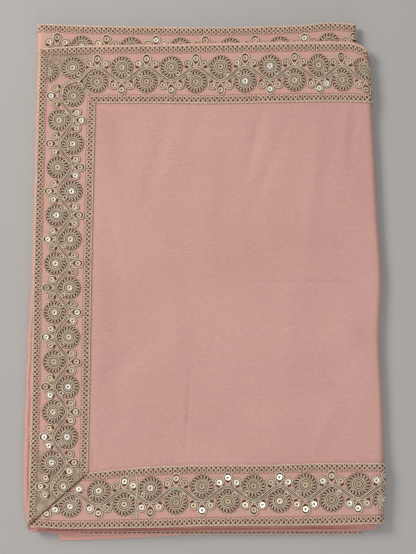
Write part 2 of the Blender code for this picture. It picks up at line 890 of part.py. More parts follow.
def back_place(along, across, out):
    return (along, back_edge(along) - LIP_ROUND - across, LEDGE_TOP - CLOTH / 2 + out)


def back_lace(material):
    """The second turn's far border, as far as it shows and a little way under the top layer."""
    strip = Strip()

    def inner_line(along):
        return back_edge(along) - LIP_ROUND - through(FAR_EDGE, along) + BACK_LACE_TUCK

    places = BACK_STEPS
    low, high = places[0], places[-1]
    lines = [
        strip.line([(p, 0.0) for p in places], CORD_RAISE),
        strip.line([(p, CHAIN_WIDTH - CHAIN_SLOPE) for p in places], CORD_RAISE),
        strip.line([(p, CHAIN_WIDTH) for p in places], 0.0),
        strip.line([(p, inner_line(p)) for p in places], 0.0),
    ]
    for a, b in zip(lines, lines[1:]):
        strip.edges += [(a[0], b[0]), (a[-1], b[-1])]
    outline = lines[0] + [lines[1][-1], lines[2][-1]] + lines[3][::-1] + [lines[2][0], lines[1][0]]
    for number in range(-1, BACK_MOTIFS.count + 1):
        along = BACK_MOTIFS.first + BACK_MOTIFS.period * number
        if low + ROSETTE_RADIUS < along < high - ROSETTE_RADIUS:
            reach = (along - ROSETTE_RADIUS, along + ROSETTE_RADIUS)
            limit = min(inner_line(p) for p in reach) - 1.0
            add_rosette(strip, (along, LACE_MIDDLE - ROSETTE_OFFSET), limit)
        between = along + BACK_MOTIFS.period / 2
        if low + LOBE_SIDE + LOBE_RADIUS < between < high - LOBE_SIDE - LOBE_RADIUS:
            add_lobe(strip, (between, LACE_MIDDLE - LOBE_MIDDLE_OFFSET))
    floor = [(p, BACK_FLOOR_ACROSS) for p in places[1:-1]]
    return close_strip("lace_back", strip, outline, back_place, floor, material)


def under_place(along, across, out):
    chain = LAYERS[3]
    ledge = 2 * LAYER_PITCH - (LAYER_PITCH - LAYER_LIP)
    edge = through(chain.near, along) + LIP_ROUND
    return (along, edge + UNDER_CHAIN_WIDTH - across, ledge - CLOTH / 2 + out)


def under_chain(material):
    """The chain edging of a lower layer, which shows along the near side."""
    strip = Strip()
    outer = strip.line([(p, UNDER_CHAIN_WIDTH) for p in UNDER_STEPS], 0.0)
    inner = strip.line([(p, 0.0) for p in UNDER_STEPS], 0.0)
    strip.edges += [(outer[0], inner[0]), (outer[-1], inner[-1])]
    outline = inner + outer[::-1]
    return close_strip("lace_under", strip, outline, under_place, [], material)


def recentre(objects):
    """Puts the origin under the middle of the whole, on the surface that it lies on."""
    corners = [v.co for obj in objects for v in obj.data.vertices]
    middle_x = (min(c.x for c in corners) + max(c.x for c in corners)) / 2
    middle_y = (min(c.y for c in corners) + max(c.y for c in corners)) / 2
    floor = min(c.z for c in corners)
    for obj in objects:
        for vertex in obj.data.vertices:
            vertex.co.x -= middle_x
            vertex.co.y -= middle_y
            vertex.co.z -= floor


def main():
    clear_scene()
    cloth = finish_material("peach_cloth", PEACH, CLOTH_ROUGHNESS, 0.0)
    lace = finish_material("gold_lace", ANTIQUE_GOLD, LACE_ROUGHNESS, 0.3)
    objects = [top_panel(cloth), folded_layers(cloth)]
    objects += lace_strips(lace)
    objects += [back_lace(lace), under_chain(lace)]
    recentre(objects)


main()
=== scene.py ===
import math
import random

import bpy
import numpy as np
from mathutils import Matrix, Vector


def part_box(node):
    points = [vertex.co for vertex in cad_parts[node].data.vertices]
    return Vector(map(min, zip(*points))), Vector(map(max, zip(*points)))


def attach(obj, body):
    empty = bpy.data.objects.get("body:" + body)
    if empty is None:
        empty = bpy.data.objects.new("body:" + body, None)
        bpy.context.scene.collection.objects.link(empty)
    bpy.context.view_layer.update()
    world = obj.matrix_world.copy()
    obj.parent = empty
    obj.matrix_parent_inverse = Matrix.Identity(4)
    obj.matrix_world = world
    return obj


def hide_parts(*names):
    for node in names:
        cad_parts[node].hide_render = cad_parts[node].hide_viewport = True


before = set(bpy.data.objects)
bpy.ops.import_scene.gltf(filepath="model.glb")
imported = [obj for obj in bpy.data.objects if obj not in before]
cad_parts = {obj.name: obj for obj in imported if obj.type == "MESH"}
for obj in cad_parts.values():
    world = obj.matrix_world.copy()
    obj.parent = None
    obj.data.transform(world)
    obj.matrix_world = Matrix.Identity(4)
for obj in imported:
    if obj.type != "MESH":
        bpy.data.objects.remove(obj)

# Sizes are in millimetres, in the plan that the part was drawn in, and become metres in the frame.
METRES = 0.001
PI = math.pi
random.seed(27)

# Thicknesses and heights of the part's cloth, the thinner cloth here, its hem and the lace's net
CLOTH = 1.2
BORDER_Z = 12.2
FIELD_DROP = 1.8
FOLD_RADIUS = 5.8
SHELL = 0.5
SHELL_OUT = 0.25
CHAIN_SHOWS = 3.4
HEM_EXTRA = 0.5
HEM_WIDTH = 7.0
NET_BASE = 0.62
NET_THICK = 0.45
NET_TOP = NET_BASE + NET_THICK

# Lace strip, measured across from its outer edge
LACE_WIDTH = 61.0
LACE_MIDDLE = 30.5
CHAIN_WIDTH = 7.8
CHAIN_PITCH = 4.8
ROSETTE_OFFSET = 7.7
PETALS = 18
PETAL_LEAN = 0.035
RINGS = ((4.4, 0.75), (6.1, 0.85))
LOBE_RADIUS = 4.3
LOBE_SIDE = 8.6
LOBE_SIDE_OFFSET = 11.3
LOBE_MIDDLE_OFFSET = 16.2
LOBE_STRETCH = 1.2
VINE_SWING = 6.9
SEQUIN_RADIUS = 3.2
SEQUIN_LIFT = 0.5
CORD = 0.50
FINE_CORD = 0.37
RING_CORD = 0.46
LOBE_CORD = 0.6
CORD_FLATNESS = 0.75
# How far the painted shade under the cords reaches, the knot's place, and a chain's stitches and tied
# feet
ROSETTE_SHADE = 12.1
LOBE_SHADE = 5.0
VINE_SHADE = 2.5
CHAIN_SHADE_REACH = 3.5
KNOT_OFFSET = 6.9
CHAIN_STITCHES = 4.85
CHAIN_FEET = 3.35
# Room that a rosette and a lobe need at a mitre, and the room at which a rosette is left whole
ROSETTE_ROOM = 1.5
LOBE_ROOM = 2.0
WHOLE_ROOM = (7.0, 60.0)
# How far pieces are cut back from a mitre, and the lift of the strip that lies on top there
MITRE_GAP = 0.15
MITRE_LIFT = 0.75
MITRE_LIFT_WIDTH = 5.0

# The top layer: its flat border, the fall to its field, its fold and the tuck under it
BORDER_FLAT = 63.5
BORDER_FALL = 26.0
FAR_FLAT_END = 178.0
FOLD_START = 172.0
FOLD_EASE = 60.0
LACE_TURN = PI * 5 / 7
TUCK_LENGTH = 30.0
SLUMP_START = 152.0
NEAR_MIDDLE = -257.2
FAR_MIDDLE = 246.4

# Outermost x of the top layer, by share of the way from the near edge to the far edge
LEFT_EDGE = [(0.0, -175.0), (0.25, -173.2), (0.5, -174.0), (0.75, -173.5), (1.0, -172.3)]
RIGHT_FOLD = [
    (0.0, 177.8), (0.10, 180.9), (0.25, 180.5), (0.37, 178.9), (0.505, 182.2), (0.62, 179.9),
    (0.79, 177.2), (1.0, 173.2),
]
# y of the top layer's long edges, by x
FAR_EDGE = [
    (-173.0, 239.0), (-130.0, 242.4), (-46.0, 244.2), (60.0, 246.4), (122.0, 247.2),
    (SLUMP_START, 247.0), (166.0, 242.5), (178.0, 234.0), (200.0, 231.0),
]
NEAR_EDGE = [
    (-175.0, -255.6), (-139.0, -258.0), (-53.0, -257.2), (4.0, -255.4), (95.0, -254.8),
    (178.0, -253.1), (200.0, -252.6),
]
# Inner edges of the three lace strips, and the hem margin outside the far one
LEFT_INNER = [(0.10, -116.0), (0.25, -115.3), (0.5, -115.0), (0.75, -114.1), (0.87, -113.4)]
FAR_INNER = [
    (-113.0, 179.4), (-56.0, 179.6), (4.0, 178.9), (58.0, 180.0), (142.0, 181.2), (174.0, 180.2),
]
NEAR_INNER = [
    (-116.0, -203.2), (-84.0, -199.7), (-54.0, -197.2), (4.0, -195.4), (56.0, -195.3),
    (116.0, -193.6), (181.0, -193.3),
]
FAR_MARGIN = [(-173.0, 0.4), (-60.0, 1.5), (60.0, 2.0)]

# Soft ridges and troughs of the plain field: x, y, heading, length, width, height
CREASES = [
    (110.0, -4.0, 0.0, 150.0, 10.0, 1.5),
    (-70.0, -2.0, -4.0, 90.0, 14.0, 0.6),
    (-88.0, -165.0, 78.0, 45.0, 9.0, 0.9),
    (118.0, -125.0, -52.0, 60.0, 18.0, 0.9),
    (20.0, 90.0, 84.0, 120.0, 34.0, -0.7),
    (20.0, -95.0, 96.0, 90.0, 30.0, -0.6),
]
# Smaller ones that the part leaves out
FINE_CREASES = [
    (95.0, -9.5, 0.0, 210.0, 1.9, -0.55),
    (130.0, -10.5, -1.0, 120.0, 3.4, -0.40),
    (-16.0, -147.0, 87.0, 95.0, 1.8, -0.50),
    (-20.0, -150.0, 87.0, 110.0, 5.0, 0.35),
    (-113.0, -186.0, 104.0, 44.0, 2.0, -0.60),
    (-74.0, -150.0, 84.0, 70.0, 7.0, 0.30),
    (150.0, -64.0, 4.0, 76.0, 17.0, 1.60),
    (138.0, -92.0, 12.0, 70.0, 8.0, -0.90),
    (0.0, -122.0, -8.0, 170.0, 18.0, -1.20),
    (84.0, -130.0, 15.0, 130.0, 16.0, -1.10),
    (-84.0, -96.0, 38.0, 80.0, 10.0, -1.00),
    (54.0, 142.0, 76.0, 90.0, 5.0, -0.90),
    (66.0, 108.0, 68.0, 100.0, 6.0, -0.80),
    (-48.0, 120.0, 74.0, 120.0, 9.0, -0.90),
    (4.0, 60.0, 88.0, 180.0, 12.0, 0.80),
    (112.0, 90.0, 84.0, 130.0, 8.0, 0.90),
    (157.0, 152.0, 82.0, 60.0, 3.0, -0.80),
    (146.0, 146.0, 86.0, 80.0, 4.5, 0.70),
    (166.0, 120.0, 88.0, 90.0, 4.0, -0.70),
    (88.0, -60.0, 86.0, 110.0, 13.0, 0.70),
    (-30.0, -60.0, 92.0, 100.0, 12.0, 0.70),
    (-88.0, 60.0, 98.0, 130.0, 8.0, 0.60),
    (120.0, -160.0, 62.0, 70.0, 8.0, 0.90),
]
# Short ones that run out of the lace seams
SEAM_CREASES = [
    (-111.8, -185.0, 101.0, 42.0, 1.7, -0.80),
    (158.0, 170.0, 95.0, 30.0, 3.0, -0.60),
]
# The same kind on the turned-under side and on the hidden layers
UNDER_CREASES = [
    (-120.0, 60.0, 20.0, 120.0, 12.0, 0.7),
    (-20.0, -30.0, 84.0, 200.0, 14.0, 0.6),
    (70.0, 120.0, -35.0, 110.0, 10.0, 0.8),
    (90.0, -140.0, 50.0, 120.0, 12.0, 0.6),
    (-90.0, -160.0, -12.0, 90.0, 10.0, 0.7),
    (20.0, 200.0, 5.0, 160.0, 12.0, 0.5),
]

# The roll's left side and the layers' edges: far and near by x, right by share
ROLL_LEFT = [
    (0.0, -177.0), (0.05, -180.4), (0.10, -181.4), (0.32, -180.0), (0.52, -176.9), (0.75, -176.2),
    (1.0, -175.8),
]
BACK_FAR = [
    (-174.0, 268.0), (-110.0, 265.4), (4.0, 263.8), (100.0, 266.2), (133.0, 269.4), (160.0, 267.5),
]
LAYER_EDGES = {
    "wedge": (
        [
            (-172.0, -260.5), (-145.5, -262.5), (-143.0, -269.4), (-91.0, -267.8), (4.0, -262.5),
            (60.0, -258.0), (160.0, -256.0),
        ],
        [(-172.0, 248.0), (160.0, 253.0)],
    ),
    "back": ([(-172.0, -248.0), (160.0, -249.0)], BACK_FAR),
    "chain": (
        [(-172.0, -257.5), (-122.0, -258.0), (-112.0, -262.0), (160.0, -262.6)],
        [(-172.0, 254.0), (160.0, 249.0)],
    ),
    "turn": ([(-172.0, -251.0), (160.0, -250.0)], [(-172.0, 257.0), (160.0, 255.0)]),
    "band": (
        [(-172.0, -261.0), (-60.0, -260.7), (96.0, -259.6), (172.0, -258.8)],
        [(-172.0, 250.0), (160.0, 252.0)],
    ),
}
# The least gap under the top layer, how far the near fold curls up and the layers' heights
LAYER_GAP = 0.65
FOLD_CURL = 1.6
LEVELS = {"wedge": 0.52, "chain": 2.6, "band": 4.5, "turn": 6.4, "back": 8.7}
OUTER_RIGHT = [(0.0, 172.0), (1.0, 159.5)]
INNER_RIGHT = [(0.0, 164.0), (1.0, 154.0)]
# How far in from those tables the folds and the inner end start
RIGHT_INSET = 3.3
ROLL_INSET = 4.4
INNER_RIGHT_INSET = 1.2
INNER_ROLL_INSET = 4.6
INNER_END_INSET = 9.0
TUCK_END = 138.0
# How the roll wavers: height and number of waves along the panel's width, and where they start
WAVERS = [(0.35, 13.0, 0.6), (0.25, 29.0, 2.0)]
# The back layer's rise under the top one, and the groove along the roll: place, depth and width
BACK_RISE = 1.15
GROOVE_AT = 5.4
GROOVE_DEPTH = 0.9
GROOVE_WIDTH = 0.8

# Rosettes near each strip's outer edge: first centre, spacing and number
FAR_MOTIFS = (-86.0, 51.7, 5)
LEFT_MOTIFS = (-192.9, 50.57, 8)
NEAR_MOTIFS = (-130.5, 51.5, 6)
BACK_MOTIFS = (-128.7, 52.1, 6)
# How far the hand-sewn lace strays across the strip, by place along it
FAR_STRAY = [(-150.0, 0.0), (0.0, 0.3), (180.0, 0.2)]
NO_STRAY = [(-230.0, 0.0), (220.0, 0.0)]
NEAR_STRAY = [(-140.0, 1.3), (0.0, 1.5), (180.0, 1.7)]

# Shifts of single rosettes, counted in half steps from the first one. None leaves one out.
LEFT_NUDGES = {-1: (1.6, -2.2), 15: (1.0, -0.6), 16: None, 17: None}
NEAR_NUDGES = {0: (-2.4, 0.0), 1: (0.0, 0.8)}
# Where the vines of the long strips start
FAR_VINE_FROM = -113.0
NEAR_VINE_FROM = -190.0
# How bright a strip's sequins are, as painted reflection of the lamps, and the rows of its net across
# it
STRIP_GLINT_PAINT = {"lace_far_work": 0.45, "lace_near_work": 1.0, "lace_left_work": 0.75}
NET_ROWS = np.linspace(0.0, LACE_WIDTH, 21)
# The lapped join: its place along the near strip, its ends across it and its width
NEAR_JOIN = -67.0
JOIN_ACROSS = (9.0, 53.0)
JOIN_LAP = 5.5
# The vine's way round the far left corner in x and y
CORNER_VINE = [
    (-111.7, 218.8), (-118.0, 217.4), (-124.2, 211.9), (-129.8, 205.4), (-138.2, 202.9),
    (-144.9, 199.4), (-148.5, 193.4), (-149.2, 186.4),
]
# Along and across the left strip
HALF_ROSETTE_AT = (213.5, 9.2)
# Rosettes of the folded-under lace in x and y
COVERED_WHEELS = [(-163.0, -237.5), (-154.5, 230.0)]
# Where the net lies double: the far strip's end of it, and for both ends of the left strip the
# place along it, the slant across it and the softness
DOUBLE_TO = -112.0
DOUBLE_BELOW = (-176.0, 0.25, 7.0)
DOUBLE_ABOVE = (196.0, 0.3, 9.0)

# The back strip: its ends, its margin to the cloth's edge, its turn and what the top layer covers
BACK_ENDS = (-170.5, 157.5)
BACK_MARGIN = 0.5
BACK_TURN = 5.2
BACK_HIDDEN = 5.0
# The chain along the near side: its ends, its edge, where the solid starts, the rows of its net and
# of the painted shade under its loops, and the middle of its loops
UNDER_ENDS = (-134.0, 158.0)
UNDER_EDGE = [(-136.0, -262.6), (-112.0, -263.9), (160.0, -264.2)]
UNDER_SOLID_LOW = -108.0
UNDER_NET_ROWS = (3.0, 6.0, 12.0)
UNDER_SHADE_ROWS = (1.5, 3.5)
UNDER_MIDDLE = 3.4
HEM_STITCH_ENDS = (-138.0, 120.0)


# Curves through tables, and the surfaces
def through(rows, at):
    """The values at places on the smooth curve through a table, flat past its ends."""
    table = np.array(rows, float)
    places, values = table[:, 0], table[:, 1]
    steps = np.diff(values) / np.diff(places)
    slopes = np.concatenate([steps[:1], np.zeros(len(steps) - 1), steps[-1:]])
    total = steps[:-1] + steps[1:]
    same_way = steps[:-1] * steps[1:] > 0
    inner = 2 * steps[:-1] * steps[1:] / np.where(same_way, total, 1.0)
    slopes[1:-1] = np.where(same_way, inner, 0.0)
    at = np.clip(np.asarray(at, float), places[0], places[-1])
    i = np.clip(np.searchsorted(places, at, side="right") - 1, 0, len(places) - 2)
    span = places[i + 1] - places[i]
    t = (at - places[i]) / span
    curve = values[i] + (values[i + 1] - values[i]) * t * t * (3 - 2 * t)
    return curve + span * t * (1 - t) * (slopes[i] * (1 - t) - slopes[i + 1] * t)


def smooth(t):
    t = np.clip(t, 0.0, 1.0)
    return t * t * (3 - 2 * t)


def points_at(x, y, z):
    """One array of points from numbers or arrays of x, y and z."""
    return np.stack(np.broadcast_arrays(x, y, z), -1)


def full_turn(steps):
    return 2 * PI * np.arange(steps) / steps


def rim_of(grid):
    """A grid's outer rows and columns, once round."""
    return np.concatenate([grid[0], grid[1:, -1], grid[-1, -2::-1], grid[-2:0:-1, 0]])


def share_up(y):
    return np.clip((y - NEAR_MIDDLE) / (FAR_MIDDLE - NEAR_MIDDLE), 0.0, 1.0)


def left_edge(y):
    return through(LEFT_EDGE, share_up(y))


def left_inner(y):
    return through(LEFT_INNER, share_up(y))


def far_edge(along):
    return through(FAR_EDGE, np.minimum(along, SLUMP_START))


def near_edge(along):
    return through(NEAR_EDGE, along)


def back_edge(x):
    return through(BACK_FAR, x)


def relief(rows, x, y):
    """Height of listed soft ridges and troughs."""
    height = np.zeros(np.broadcast(x, y).shape)
    for at_x, at_y, heading, length, width, rise in rows:
        turn = math.radians(heading)
        along = (x - at_x) * math.cos(turn) + (y - at_y) * math.sin(turn)
        across = (y - at_y) * math.cos(turn) - (x - at_x) * math.sin(turn)
        height = height + rise * np.exp(-((2 * along / length) ** 2) - (across / width) ** 2)
    return height


def inwards(x, y):
    """Distance in from the nearest edge of the top layer that has a lace border."""
    from_far = FAR_FLAT_END + BORDER_FLAT - y
    return np.minimum(np.minimum(x - left_edge(y), from_far), y - near_edge(x))


def panel_height(x, y):
    rise = 1 - smooth((inwards(x, y) - BORDER_FLAT) / BORDER_FALL)
    return BORDER_Z - (1 - rise) * (FIELD_DROP - relief(CREASES, x, y))


def puckers(x, y):
    """Small uneven gathers along the lace seams, which die out into the field."""
    depth = inwards(x, y) - LACE_WIDTH
    near_seam = np.exp(-((depth - 4.0) / 9.0) ** 2)
    along_far = np.sin(x * 0.52 + 1.7 * np.sin(x * 0.11)) * (0.6 + 0.4 * np.sin(x * 0.045 + 1.0))
    along_left = np.sin(y * 0.49 + 1.9 * np.sin(y * 0.093)) * (0.6 + 0.4 * np.sin(y * 0.038))
    by_left = smooth((x - left_edge(y) - 80.0) / 20.0)
    return 0.16 * near_seam * (by_left * along_far + (1 - by_left) * along_left)


def fine_height(x, y):
    """The part's surface with the small creases and gathers, which fade out at the fold."""
    soft = 0.24 * np.sin(x * 0.072 + 1.3 * np.sin(y * 0.011)) * np.sin(y * 0.016 + 0.7)
    inside = smooth((inwards(x, y) - 60.0) / 18.0)
    fade = smooth((168.0 - x) / 22.0)
    by_seam = smooth((inwards(x, y) - 60.5) / 3.0)
    extra = inside * (relief(FINE_CREASES, x, y) + soft) + puckers(x, y)
    extra = extra + by_seam * relief(SEAM_CREASES, x, y)
    return panel_height(x, y) + fade * extra


def fold_at(y):
    """Where the right-hand fold starts, its radius and the height of its centre."""
    outermost = through(RIGHT_FOLD, share_up(y)) - CLOTH / 2
    start = outermost - BORDER_Z / 2
    radius = (panel_height(start, y) - CLOTH / 2) / 2
    return outermost - radius, radius, CLOTH / 2 + radius


def far_slump(along, y):
    flat_edge = far_edge(along)
    drop = through(FAR_EDGE, along) - flat_edge
    return drop * smooth((y - FAR_FLAT_END) / (flat_edge - FAR_FLAT_END))


def panel_point(along, y, out):
    """Points on the top layer: along is x as far as the fold and then the length round it."""
    start, radius, centre = fold_at(y)
    y_here = y + far_slump(along, y)
    turned = (along - start) / radius
    angle = np.clip(turned, 0.0, PI)
    reach = radius + out
    flat_x = np.minimum(along, start)
    x = flat_x + reach * np.sin(angle) - np.maximum(turned - PI, 0.0) * radius
    flat_z = fine_height(flat_x, y) + out
    z = np.where(turned <= 0, flat_z, centre + reach * np.cos(angle))
    return points_at(x, y_here, z)


def in_step(along, y):
    """Eases a strip's place so that it turns the fold in step with the cloth."""
    start, radius, _ = fold_at(y)
    share = np.maximum(0.0, 1 - (FOLD_START - along) / FOLD_EASE)
    flat = along + share * (start - FOLD_START)
    turned = start + (along - FOLD_START) * radius / FOLD_RADIUS
    return np.where(along > FOLD_START, turned, flat)


def part_way(outer, inner, across):
    return outer + (inner - outer) * across / LACE_WIDTH


def far_place(along, across, out):
    outer = far_edge(along) - through(FAR_MARGIN, along)
    y = part_way(outer, through(FAR_INNER, along), across)
    return panel_point(in_step(along, y), y, out)


def near_place(along, across, out):
    y = part_way(near_edge(along), through(NEAR_INNER, along), across)
    return panel_point(in_step(along, y), y, out)


def left_place(along, across, out):
    x = part_way(left_edge(along), left_inner(along), across)
    return panel_point(x, along, out)


def back_place(along, across, out):
    """On the second turn's far border, and round the folds at its ends."""
    y = back_edge(along) - BACK_MARGIN - across
    right, left = OUTER_RIGHT[1][1] - RIGHT_INSET, ROLL_LEFT[-1][1] + ROLL_INSET
    below = np.where(along > 0.0, LEVELS["chain"], LEVELS["wedge"])
    radius = (LEVELS["back"] - below) / 2
    past = np.maximum(along - right, 0.0) + np.minimum(along - left, 0.0)
    angle = past / radius
    reach = radius - 0.3 + out
    x = np.clip(along, left, right) + reach * np.sin(angle)
    z = LEVELS["back"] - radius + reach * np.cos(angle)
    return points_at(x, y, z)


def under_place(along, across, out):
    """On the down-facing side of the chain layer, from just past its edge inwards."""
    y = through(UNDER_EDGE, along) + 0.2 + across
    z = LEVELS["chain"] - SHELL_OUT - out
    return points_at(along, y, z)


# The part's plan was drawn a little off the frame's origin.
def plan_shift():
    """From two edges of the solids, whose places in the plan are known."""
    low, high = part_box("lace_under")
    shift_x = low[0] / METRES - UNDER_SOLID_LOW
    low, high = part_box("lace_back")
    steps = [BACK_ENDS[0]] + [-150.0 + 28.0 * i for i in range(11)] + [BACK_ENDS[1]]
    shift_y = high[1] / METRES - max(float(back_edge(x)) - BACK_MARGIN for x in steps)
    return np.array([shift_x, shift_y, 0.0])


SHIFT = plan_shift()


# Meshes from arrays
class Work:
    """Many small pieces of one mesh, as grids of points in a flat plan (along, across, height)."""

    def __init__(self):
        self.points = []
        self.quads = []
        self.uvs = []
        self.slots = []
        self.tones = []
        self.whole = []
        self.uncut = False
        # Whether a cord's painted shade falls on its sides only, leaving both faces light
        self.both_sides = False
        # The share of painted reflection on this piece's sequins
        self.bright = 0.6
        self.count = 0

    def add_grid(self, grid, slot, wrap_rows=False, wrap_columns=False, lengths=None, tone=0.0):
        rows, columns = grid.shape[:2]
        number = self.count + np.arange(rows * columns).reshape(rows, columns)
        r = np.arange(rows if wrap_rows else rows - 1)
        c = np.arange(columns if wrap_columns else columns - 1)
        r, c = [a.ravel() for a in np.meshgrid(r, c, indexing="ij")]
        r2, c2 = (r + 1) % rows, (c + 1) % columns
        self.quads.append(np.stack([number[r, c], number[r, c2], number[r2, c2], number[r2, c]], -1))
        if lengths is None:
            lengths = np.arange(rows + 1, dtype=float)
        u, u2 = lengths[r], lengths[r + 1]
        v, v2 = c / columns, (c + 1) / columns
        corners = [np.stack(pair, -1) for pair in ((u, v), (u, v2), (u2, v2), (u2, v))]
        self.uvs.append(np.stack(corners, 1))
        self.slots.append(np.full(len(r), slot))
        self.whole.append(np.full(len(r), self.uncut))
        self.points.append(grid.reshape(-1, 3))
        self.tones.append(np.broadcast_to(np.ravel(tone), (rows * columns,)))
        self.count += rows * columns

    def add_cord(self, path, heights, radius, slot, closed=False, sides=6):
        """A round cord along a plan path, with its middle at the given heights."""
        path = np.asarray(path, float)
        heights = np.broadcast_to(np.asarray(heights, float), (len(path),))
        if closed:
            ahead, behind = np.roll(path, -1, 0), np.roll(path, 1, 0)
        else:
            ahead = np.vstack([path[1:], 2 * path[-1:] - path[-2:-1]])
            behind = np.vstack([2 * path[:1] - path[1:2], path[:-1]])
        way = ahead - behind
        way /= np.maximum(np.linalg.norm(way, axis=1, keepdims=True), 1e-9)
        left = np.stack([-way[:, 1], way[:, 0]], -1)
        angle = full_turn(sides) + PI / 2
        flat = path[:, None] + left[:, None] * (radius * np.cos(angle))[None, :, None]
        rise = heights[:, None] + CORD_FLATNESS * radius * np.sin(angle)[None]
        grid = np.concatenate([flat, rise[..., None]], -1)
        step = np.linalg.norm(np.diff(np.vstack([path, path[:1]]), axis=0), axis=1)
        lengths = np.concatenate([[0.0], np.cumsum(step)])
        # Painted shade: a cord's tone falls where it faces down, or with both_sides where it faces
        # sideways, and darkens its colour there
        upward = np.abs(np.sin(angle)) if self.both_sides else np.sin(angle)
        shade = np.clip(0.3 + 0.7 * upward, 0.0, 1.0)
        shade = np.broadcast_to(shade, (len(path), sides)).ravel()
        self.add_grid(grid, slot, closed, True, lengths, shade)

    def add_sheet(self, grid, thickness, slot, tone=0.0):
        """A thin flat sheet, left whole: its top, underside and rim. Rows run across."""
        self.uncut = True
        under = grid - np.array([0.0, 0.0, thickness])
        self.add_grid(grid, slot, tone=tone)
        self.add_grid(under[::-1], slot)
        rim = rim_of(grid)
        low = rim - np.array([0.0, 0.0, thickness])
        self.add_grid(np.stack([low, rim]), slot, False, True)
        self.uncut = False

    def make(self, name, place, materials, keep=(), high=1000.0):
        """Places everything and cuts off what lies past the keep lines or the strip's end."""
        plan = np.concatenate(self.points)
        points = place(plan[:, 0], plan[:, 1], plan[:, 2])
        lists = (self.quads, self.uvs, self.slots, self.tones)
        quads, uvs, slots, tones = [np.concatenate(arrays) for arrays in lists]
        stays = np.ones(len(quads), bool)
        for inside in keep:
            stays &= inside(points)[quads].all(1)
        stays |= np.concatenate(self.whole)
        stays &= (plan[:, 0] < high + 0.3)[quads].all(1)
        quads, uvs, slots = quads[stays], uvs[stays], slots[stays]
        used, numbers = np.unique(quads, return_inverse=True)
        quads = numbers.reshape(quads.shape)
        if mirrored(place, plan[0]):
            quads, uvs = quads[:, ::-1], uvs[:, ::-1]
        return add_mesh(name, points[used], quads, materials, tones[used], uvs, slots)


def mirrored(place, at):
    """Whether a place function turns the plan over."""
    here = place(at[0], at[1], at[2])
    steps = []
    for i in range(3):
        moved = np.array(at, float)
        moved[i] += 0.01
        steps.append(place(moved[0], moved[1], moved[2]) - here)
    return np.dot(np.cross(steps[0], steps[1]), steps[2]) < 0


def add_object(name, data):
    obj = bpy.data.objects.new(name, data)
    bpy.context.scene.collection.objects.link(obj)
    return obj


def add_mesh(name, points, quads, materials, tones, uvs=None, slots=None):
    mesh = bpy.data.meshes.new(name)
    world = (points + SHIFT) * METRES
    mesh.from_pydata(world.tolist(), [], quads.tolist())
    for material in materials:
        mesh.materials.append(material)
    if slots is not None:
        mesh.polygons.foreach_set("material_index", slots.astype(np.int32))
    if uvs is not None:
        layer = mesh.uv_layers.new(name="cord")
        layer.data.foreach_set("uv", uvs.reshape(-1).astype(np.float32))
    # The tone: painted light on the cloth and the cords, partly painted reflection on the sequins, and
    # where the net lies double
    layer = mesh.attributes.new("tone", "FLOAT", "POINT")
    layer.data.foreach_set("value", tones.astype(np.float32))
    mesh.polygons.foreach_set("use_smooth", np.ones(len(quads), bool))
    mesh.update()
    return add_object(name, mesh)


def shell_mesh(name, middle, thickness, tones, materials):
    """A closed thin cloth from its middle surface; rows run across and columns along."""
    rows, columns = middle.shape[:2]
    normal = np.cross(np.gradient(middle, axis=1), np.gradient(middle, axis=0))
    normal /= np.linalg.norm(normal, axis=2, keepdims=True)
    half = normal * thickness[..., None] / 2
    points = np.concatenate([(middle + half).reshape(-1, 3), (middle - half).reshape(-1, 3)])
    number = np.arange(rows * columns).reshape(rows, columns)
    corners = [number[:-1, :-1], number[:-1, 1:], number[1:, 1:], number[1:, :-1]]
    front = np.stack(corners, -1).reshape(-1, 4)
    shift = rows * columns
    rim = rim_of(number)
    after = np.roll(rim, -1)
    edge = np.stack([rim, rim + shift, after + shift, after], -1)
    quads = np.concatenate([front, front[:, ::-1] + shift, edge])
    obj = add_mesh(name, points, quads, materials, np.tile(tones.ravel(), 2))
    obj.data.set_sharp_from_angle(angle=math.radians(50))
    return obj


# The cloth: one long panel rolled flat, from its top short end to its inner end
# Its rows: close to an edge, over a border, over the field and at the long crease
EDGE_ROWS = np.array([0.7, 1.4, 2.2, 3.1])
EDGE_SPAN = 4.2
BORDER_ROWS = 17
BORDER_SPAN = 66.0
FIELD_ROWS = 104
CREASE_Y = -9.5
CREASE_STEPS = np.array([-2.4, -1.2, 0.0, 1.2, 2.4])
# Its columns: over the top layer, round the right-hand fold and round the hidden folds, and more at
# the two steep creases and where the wedge's edge steps out
TOP_COLUMNS = 96
ARC_STEPS = 14
FOLD_STEPS = [10, 9, 8, 7]
CREASE_SHARES = [0.172, 0.176, 0.180, 0.184, 0.188, 0.448, 0.455, 0.459, 0.463, 0.470]
WEDGE_STEP = [0.893, 0.899, 0.905, 0.911, 0.917]


def row_shares():
    """The rows' shares of the panel's width, closer together at the borders and the long crease."""
    width = FAR_MIDDLE - NEAR_MIDDLE
    border = BORDER_SPAN / width
    near = np.linspace(EDGE_SPAN / width, border, BORDER_ROWS)
    near = np.concatenate([[0.0], EDGE_ROWS / width, near])
    field = np.linspace(border, 1 - border, FIELD_ROWS)
    crease = (CREASE_Y + CREASE_STEPS - NEAR_MIDDLE) / width
    return np.sort(np.concatenate([near, field[1:-1], crease, 1 - near[::-1]]))


def layer_edge(name, x, v):
    near, far = LAYER_EDGES[name]
    low = through(near, x)
    if name == "chain":
        low = low + CHAIN_SHOWS * smooth((x + 112.0) / 12.0)
    return low + v * (through(far, x) - low)


